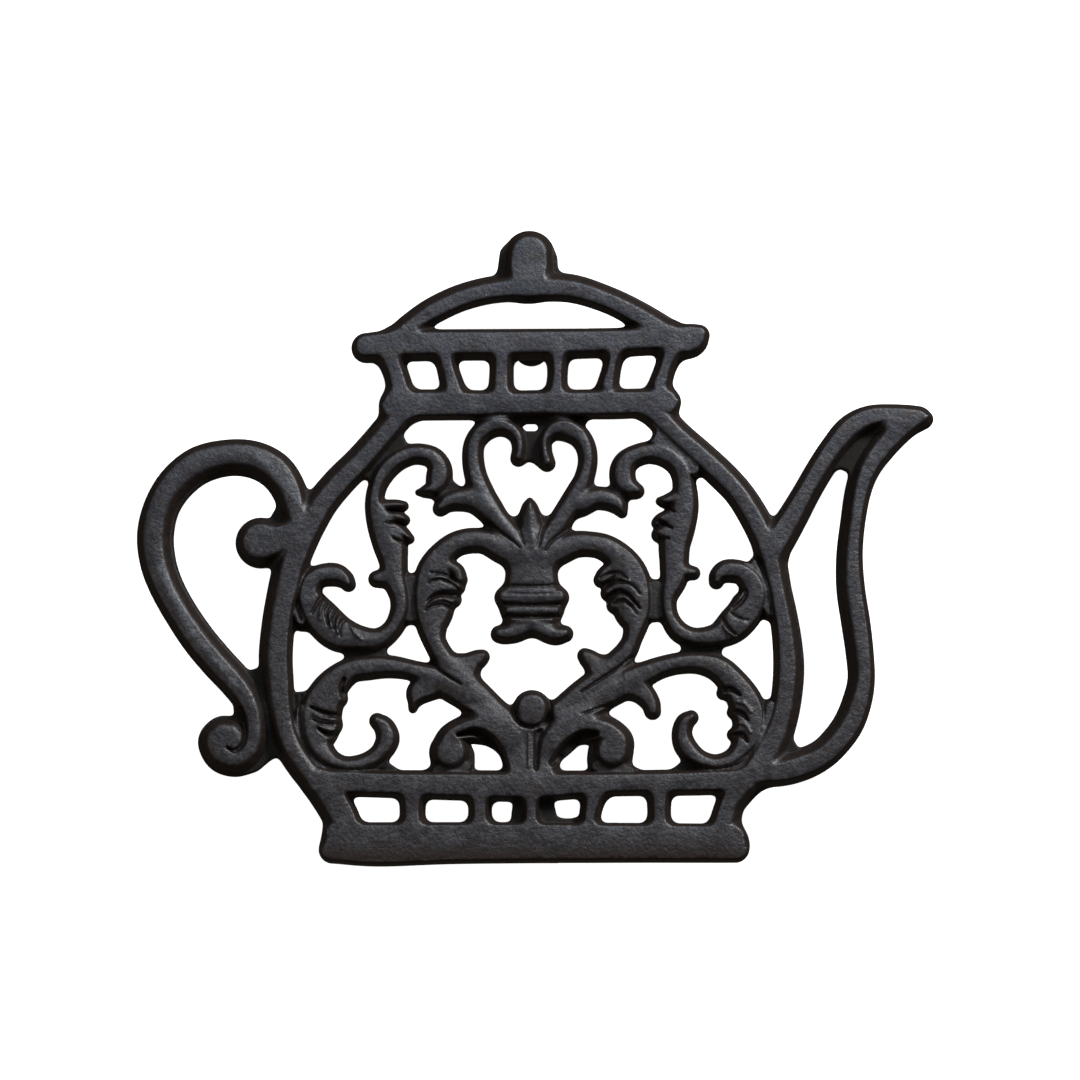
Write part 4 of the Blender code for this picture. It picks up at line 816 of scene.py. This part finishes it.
def peg_faces(points, centre, root):
    """The faces of a tapered peg below its root, a ring of points on the plate's back."""
    waist = add_ring(points, centre, PEG_TIP_RADIUS, PEG_END + PEG_CHAMFER)
    tip = add_ring(points, centre, PEG_TIP_RADIUS - PEG_CHAMFER, PEG_END)
    return band(waist, root) + band(tip, waist) + [tip[::-1]]


def add_object(name, data):
    made = bpy.data.objects.new(name, data)
    bpy.context.scene.collection.objects.link(made)
    return made


def mesh_object(name, points, faces, material):
    data = bpy.data.meshes.new(name)
    data.from_pydata([(x * MM, y * MM, z * MM) for x, y, z in points], [], faces)
    data.validate()
    data.materials.append(material)
    data.shade_smooth()
    return add_object(name, data)


def apply_modifiers(thing):
    graph = bpy.context.evaluated_depsgraph_get()
    data = bpy.data.meshes.new_from_object(thing.evaluated_get(graph))
    thing.modifiers.clear()
    thing.data = data


# ---- the feet


def foot_centres():
    centres = {}
    for name in FOOT_NAMES:
        low, high = (np.array(corner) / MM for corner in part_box("foot_cap_" + name))
        centres[name] = tuple(0.5 * (low + high)[:2])
    return centres


def build_cap(name, centre, material):
    """A turned rubber cup: soft edges, a bead round its mouth and a shallow dish under its base."""
    points = [(*centre, CAP_PROFILE[0][1])]
    rings = [add_ring(points, centre, radius, z) for radius, z in CAP_PROFILE[1:-1]]
    points.append((*centre, CAP_PROFILE[-1][1]))
    faces = [[0, after, here] for here, after in neighbours(rings[0])]
    for below, above in zip(rings, rings[1:]):
        faces += band(below, above)
    faces += [[here, after, len(points) - 1] for here, after in neighbours(rings[-1])]
    cap = mesh_object("rubber_foot_" + name, points, faces, material)
    cap.data.set_sharp_from_angle(angle=math.radians(CAP_SHARP_ANGLE))
    return cap


# ---- materials


def new_material(name):
    material = bpy.data.materials.new(name)
    material.use_nodes = True
    return material, material.node_tree, material.node_tree.nodes["Principled BSDF"]


def fill(tree, made, inputs):
    """Each input is linked to the socket, or set to the value, that is given for it."""
    for key, value in dict(inputs).items():
        if isinstance(value, bpy.types.NodeSocket):
            tree.links.new(value, made.inputs[key])
        else:
            made.inputs[key].default_value = value


def node(tree, kind, inputs=(), **settings):
    made = tree.nodes.new(kind)
    for key, value in settings.items():
        setattr(made, key, value)
    fill(tree, made, inputs)
    return made


def noise(tree, place, scale, detail, roughness):
    inputs = {"Vector": place, "Scale": scale, "Detail": detail, "Roughness": roughness}
    return node(tree, "ShaderNodeTexNoise", inputs).outputs["Fac"]


def ramp(tree, value, low, high, out_low=0.0, out_high=1.0):
    inputs = {"Value": value, "From Min": low, "From Max": high, "To Min": out_low,
              "To Max": out_high}
    return node(tree, "ShaderNodeMapRange", inputs).outputs["Result"]


def arithmetic(tree, operation, first, second):
    return node(tree, "ShaderNodeMath", {0: first, 1: second}, operation=operation).outputs["Value"]


def mixed(tree, factor, first, second):
    inputs = {0: factor, 6: first, 7: second}
    return node(tree, "ShaderNodeMix", inputs, data_type="RGBA").outputs[2]


def vector_math(tree, operation, first, second):
    return node(tree, "ShaderNodeVectorMath", {0: first, 1: second}, operation=operation)


def highlight_streak(tree, place, start, end, width, patches):
    """How strongly a painted highlight is laid along the segment from start to end."""
    start, end = (Vector((*point, 0.0)) * MM for point in (start, end))
    along = end - start
    level = vector_math(tree, "MULTIPLY", place, (1.0, 1.0, 0.0)).outputs[0]
    offset = vector_math(tree, "SUBTRACT", level, start).outputs[0]
    share = vector_math(tree, "DOT_PRODUCT", offset, along / along.length_squared)
    share = ramp(tree, share.outputs["Value"], 0.0, 1.0)
    nearest = node(tree, "ShaderNodeVectorMath", {0: along, "Scale": share}, operation="SCALE")
    away = vector_math(tree, "DISTANCE", offset, nearest.outputs[0]).outputs["Value"]
    near = ramp(tree, away, width * MM, HIGHLIGHT_CORE * width * MM)
    return arithmetic(tree, "MULTIPLY", near, ramp(tree, patches, *HIGHLIGHT_PATCHES))


def shifted(tree, value, by, amount):
    """The value with an amount of another added, such as a position that a noise shifts."""
    return arithmetic(tree, "ADD", value, arithmetic(tree, "MULTIPLY", by, amount))


def bump(tree, height, strength, distance, **below):
    inputs = {"Height": height, "Strength": strength, "Distance": distance, **below}
    return node(tree, "ShaderNodeBump", inputs).outputs["Normal"]


def iron_material():
    """Dark grey sand-cast iron: bluish crests with painted light and highlights, brown-black walls
    in painted shade, grain and faint blotches.
    """
    material, tree, shader = new_material("sand_cast_iron")
    place = node(tree, "ShaderNodeTexCoord").outputs["Object"]
    split = node(tree, "ShaderNodeSeparateXYZ", {"Vector": place})
    normal = node(tree, "ShaderNodeNewGeometry").outputs["Normal"]
    upward = node(tree, "ShaderNodeSeparateXYZ", {"Vector": normal}).outputs["Z"]
    coarse = noise(tree, place, *COARSE_NOISE)
    medium = noise(tree, place, *MEDIUM_NOISE)
    tint = noise(tree, place, *TINT_NOISE)
    grain = noise(tree, place, *GRAIN_NOISE)
    # painted shade: steep walls and lower surfaces take the dark wall colours, low flat parts the
    # darkest; only the high flat crests keep the crest colours
    flatness = ramp(tree, upward, *FLAT_SLOPE)
    high_part = ramp(tree, split.outputs["Z"], *HIGH_PART)
    lit = arithmetic(tree, "MULTIPLY", flatness, high_part)
    sunk_shade = arithmetic(tree, "SUBTRACT", flatness, lit)

    # painted light: crests lighter and bluer towards the top of the plate, the side the light comes
    # from
    top_light = ramp(tree, shifted(tree, split.outputs["Y"], coarse, TOP_LIGHT_WANDER), *TOP_LIGHT_PART)
    crest = mixed(tree, top_light, CREST_NEUTRAL, CREST_TOP_LIGHT)
    crest = mixed(tree, ramp(tree, medium, *WORN_PATCHES), crest, CREST_WORN)
    crest = mixed(tree, ramp(tree, tint, *BROWN_PATCHES), crest, CREST_BROWN)
    low_edge = shifted(tree, split.outputs["Y"], coarse, BROWN_WANDER)
    crest = mixed(tree, ramp(tree, low_edge, *BROWN_EDGE), crest, CREST_BROWN)
    # painted highlight: bright streaks laid along the crests that face the key light
    for start, end, width in HIGHLIGHT_STREAKS:
        crest = mixed(tree, highlight_streak(tree, place, start, end, width, medium), crest, PAINTED_HIGHLIGHT)
    # painted shade on the walls, with brown patches, darkest on the low flat parts
    wall_shade = mixed(tree, ramp(tree, medium, *WALL_PATCHES), WALL_SHADE_DARK, WALL_SHADE_BROWN)
    wall_shade = mixed(tree, sunk_shade, wall_shade, WALL_SHADE_DARK)
    colour = mixed(tree, lit, wall_shade, crest)
    colour = mixed(tree, ramp(tree, grain, *PITS, 0.0, PIT_STRENGTH), colour, PIT_DARK)

    rough = ramp(tree, lit, 0.0, 1.0, WALL_ROUGHNESS, CREST_ROUGHNESS)
    rough = arithmetic(tree, "ADD", ramp(tree, grain, *GRAIN_ROUGHNESS), rough)
    rough = shifted(tree, rough, sunk_shade, SUNK_ROUGHNESS)
    fine = bump(tree, grain, *GRAIN_BUMP)
    broad = bump(tree, medium, *MEDIUM_BUMP, Normal=fine)
    fill(tree, shader, {"Base Color": colour, "Roughness": rough, "Metallic": 0.0,
                        "IOR": IRON_IOR, "Normal": broad})
    return material


def rubber_material():
    """Matte moulded rubber with a dusty bloom."""
    material, tree, shader = new_material("moulded_rubber")
    place = node(tree, "ShaderNodeTexCoord").outputs["Object"]
    bloom = noise(tree, place, *BLOOM_NOISE)
    grain = noise(tree, place, *RUBBER_NOISE)
    colour = mixed(tree, ramp(tree, bloom, *BLOOM_PATCHES), RUBBER_DARK, RUBBER_DUSTY)
    fill(tree, shader, {"Base Color": colour, "Roughness": ramp(tree, bloom, *RUBBER_ROUGHNESS),
                        "Normal": bump(tree, grain, *RUBBER_BUMP)})
    return material


# ---- floor, light and camera


def add_floor():
    material, tree, shader = new_material("white_sweep")
    fill(tree, shader, {"Base Color": FLOOR_COLOUR, "Roughness": FLOOR_ROUGHNESS,
                        "Emission Color": GLOW_COLOUR, "Emission Strength": FLOOR_GLOW})
    half = FLOOR_SIZE / 2
    corners = [(-half, -half, 0.0), (half, -half, 0.0), (half, half, 0.0), (-half, half, 0.0)]
    floor = mesh_object("floor", corners, [(0, 1, 2, 3)], material)
    floor.visible_diffuse = False
    floor.visible_glossy = False


def add_softbox(name, place, target, size, power, colour):
    data = bpy.data.lights.new(name, "AREA")
    data.shape = "RECTANGLE"
    data.size, data.size_y = size
    data.energy = power
    data.color = colour
    light = add_object(name, data)
    light.location = place
    light.rotation_euler = (Vector(target) - Vector(place)).to_track_quat("-Z", "Y").to_euler()


def add_world():
    world = bpy.data.worlds.new("studio")
    world.use_nodes = True
    background = world.node_tree.nodes["Background"]
    fill(world.node_tree, background, {"Color": WORLD_COLOUR, "Strength": WORLD_STRENGTH})
    bpy.context.scene.world = world


def add_camera():
    data = bpy.data.cameras.new("camera")
    data.lens = LENS
    data.sensor_width = SENSOR
    distance = VIEW_WIDTH * LENS / SENSOR
    camera = add_object("camera", data)
    lean = math.radians(VIEW_LEAN)
    camera.location = (AIM[0], AIM[1] - distance * math.sin(lean),
                       AIM[2] + distance * math.cos(lean))
    camera.rotation_euler = (lean, 0.0, 0.0)
    bpy.context.scene.camera = camera


def main():
    add_camera()
    add_world()
    add_floor()
    for softbox in SOFTBOXES:
        add_softbox(*softbox)
    bpy.context.scene.view_settings.view_transform = "Standard"
    feet = foot_centres()
    casting = build_casting(feet)
    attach(casting, "root")
    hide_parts("trivet_casting")
    rubber = rubber_material()
    for name, centre in feet.items():
        cap = build_cap(name, centre, rubber)
        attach(cap, "root")
        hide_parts("foot_cap_" + name)


main()
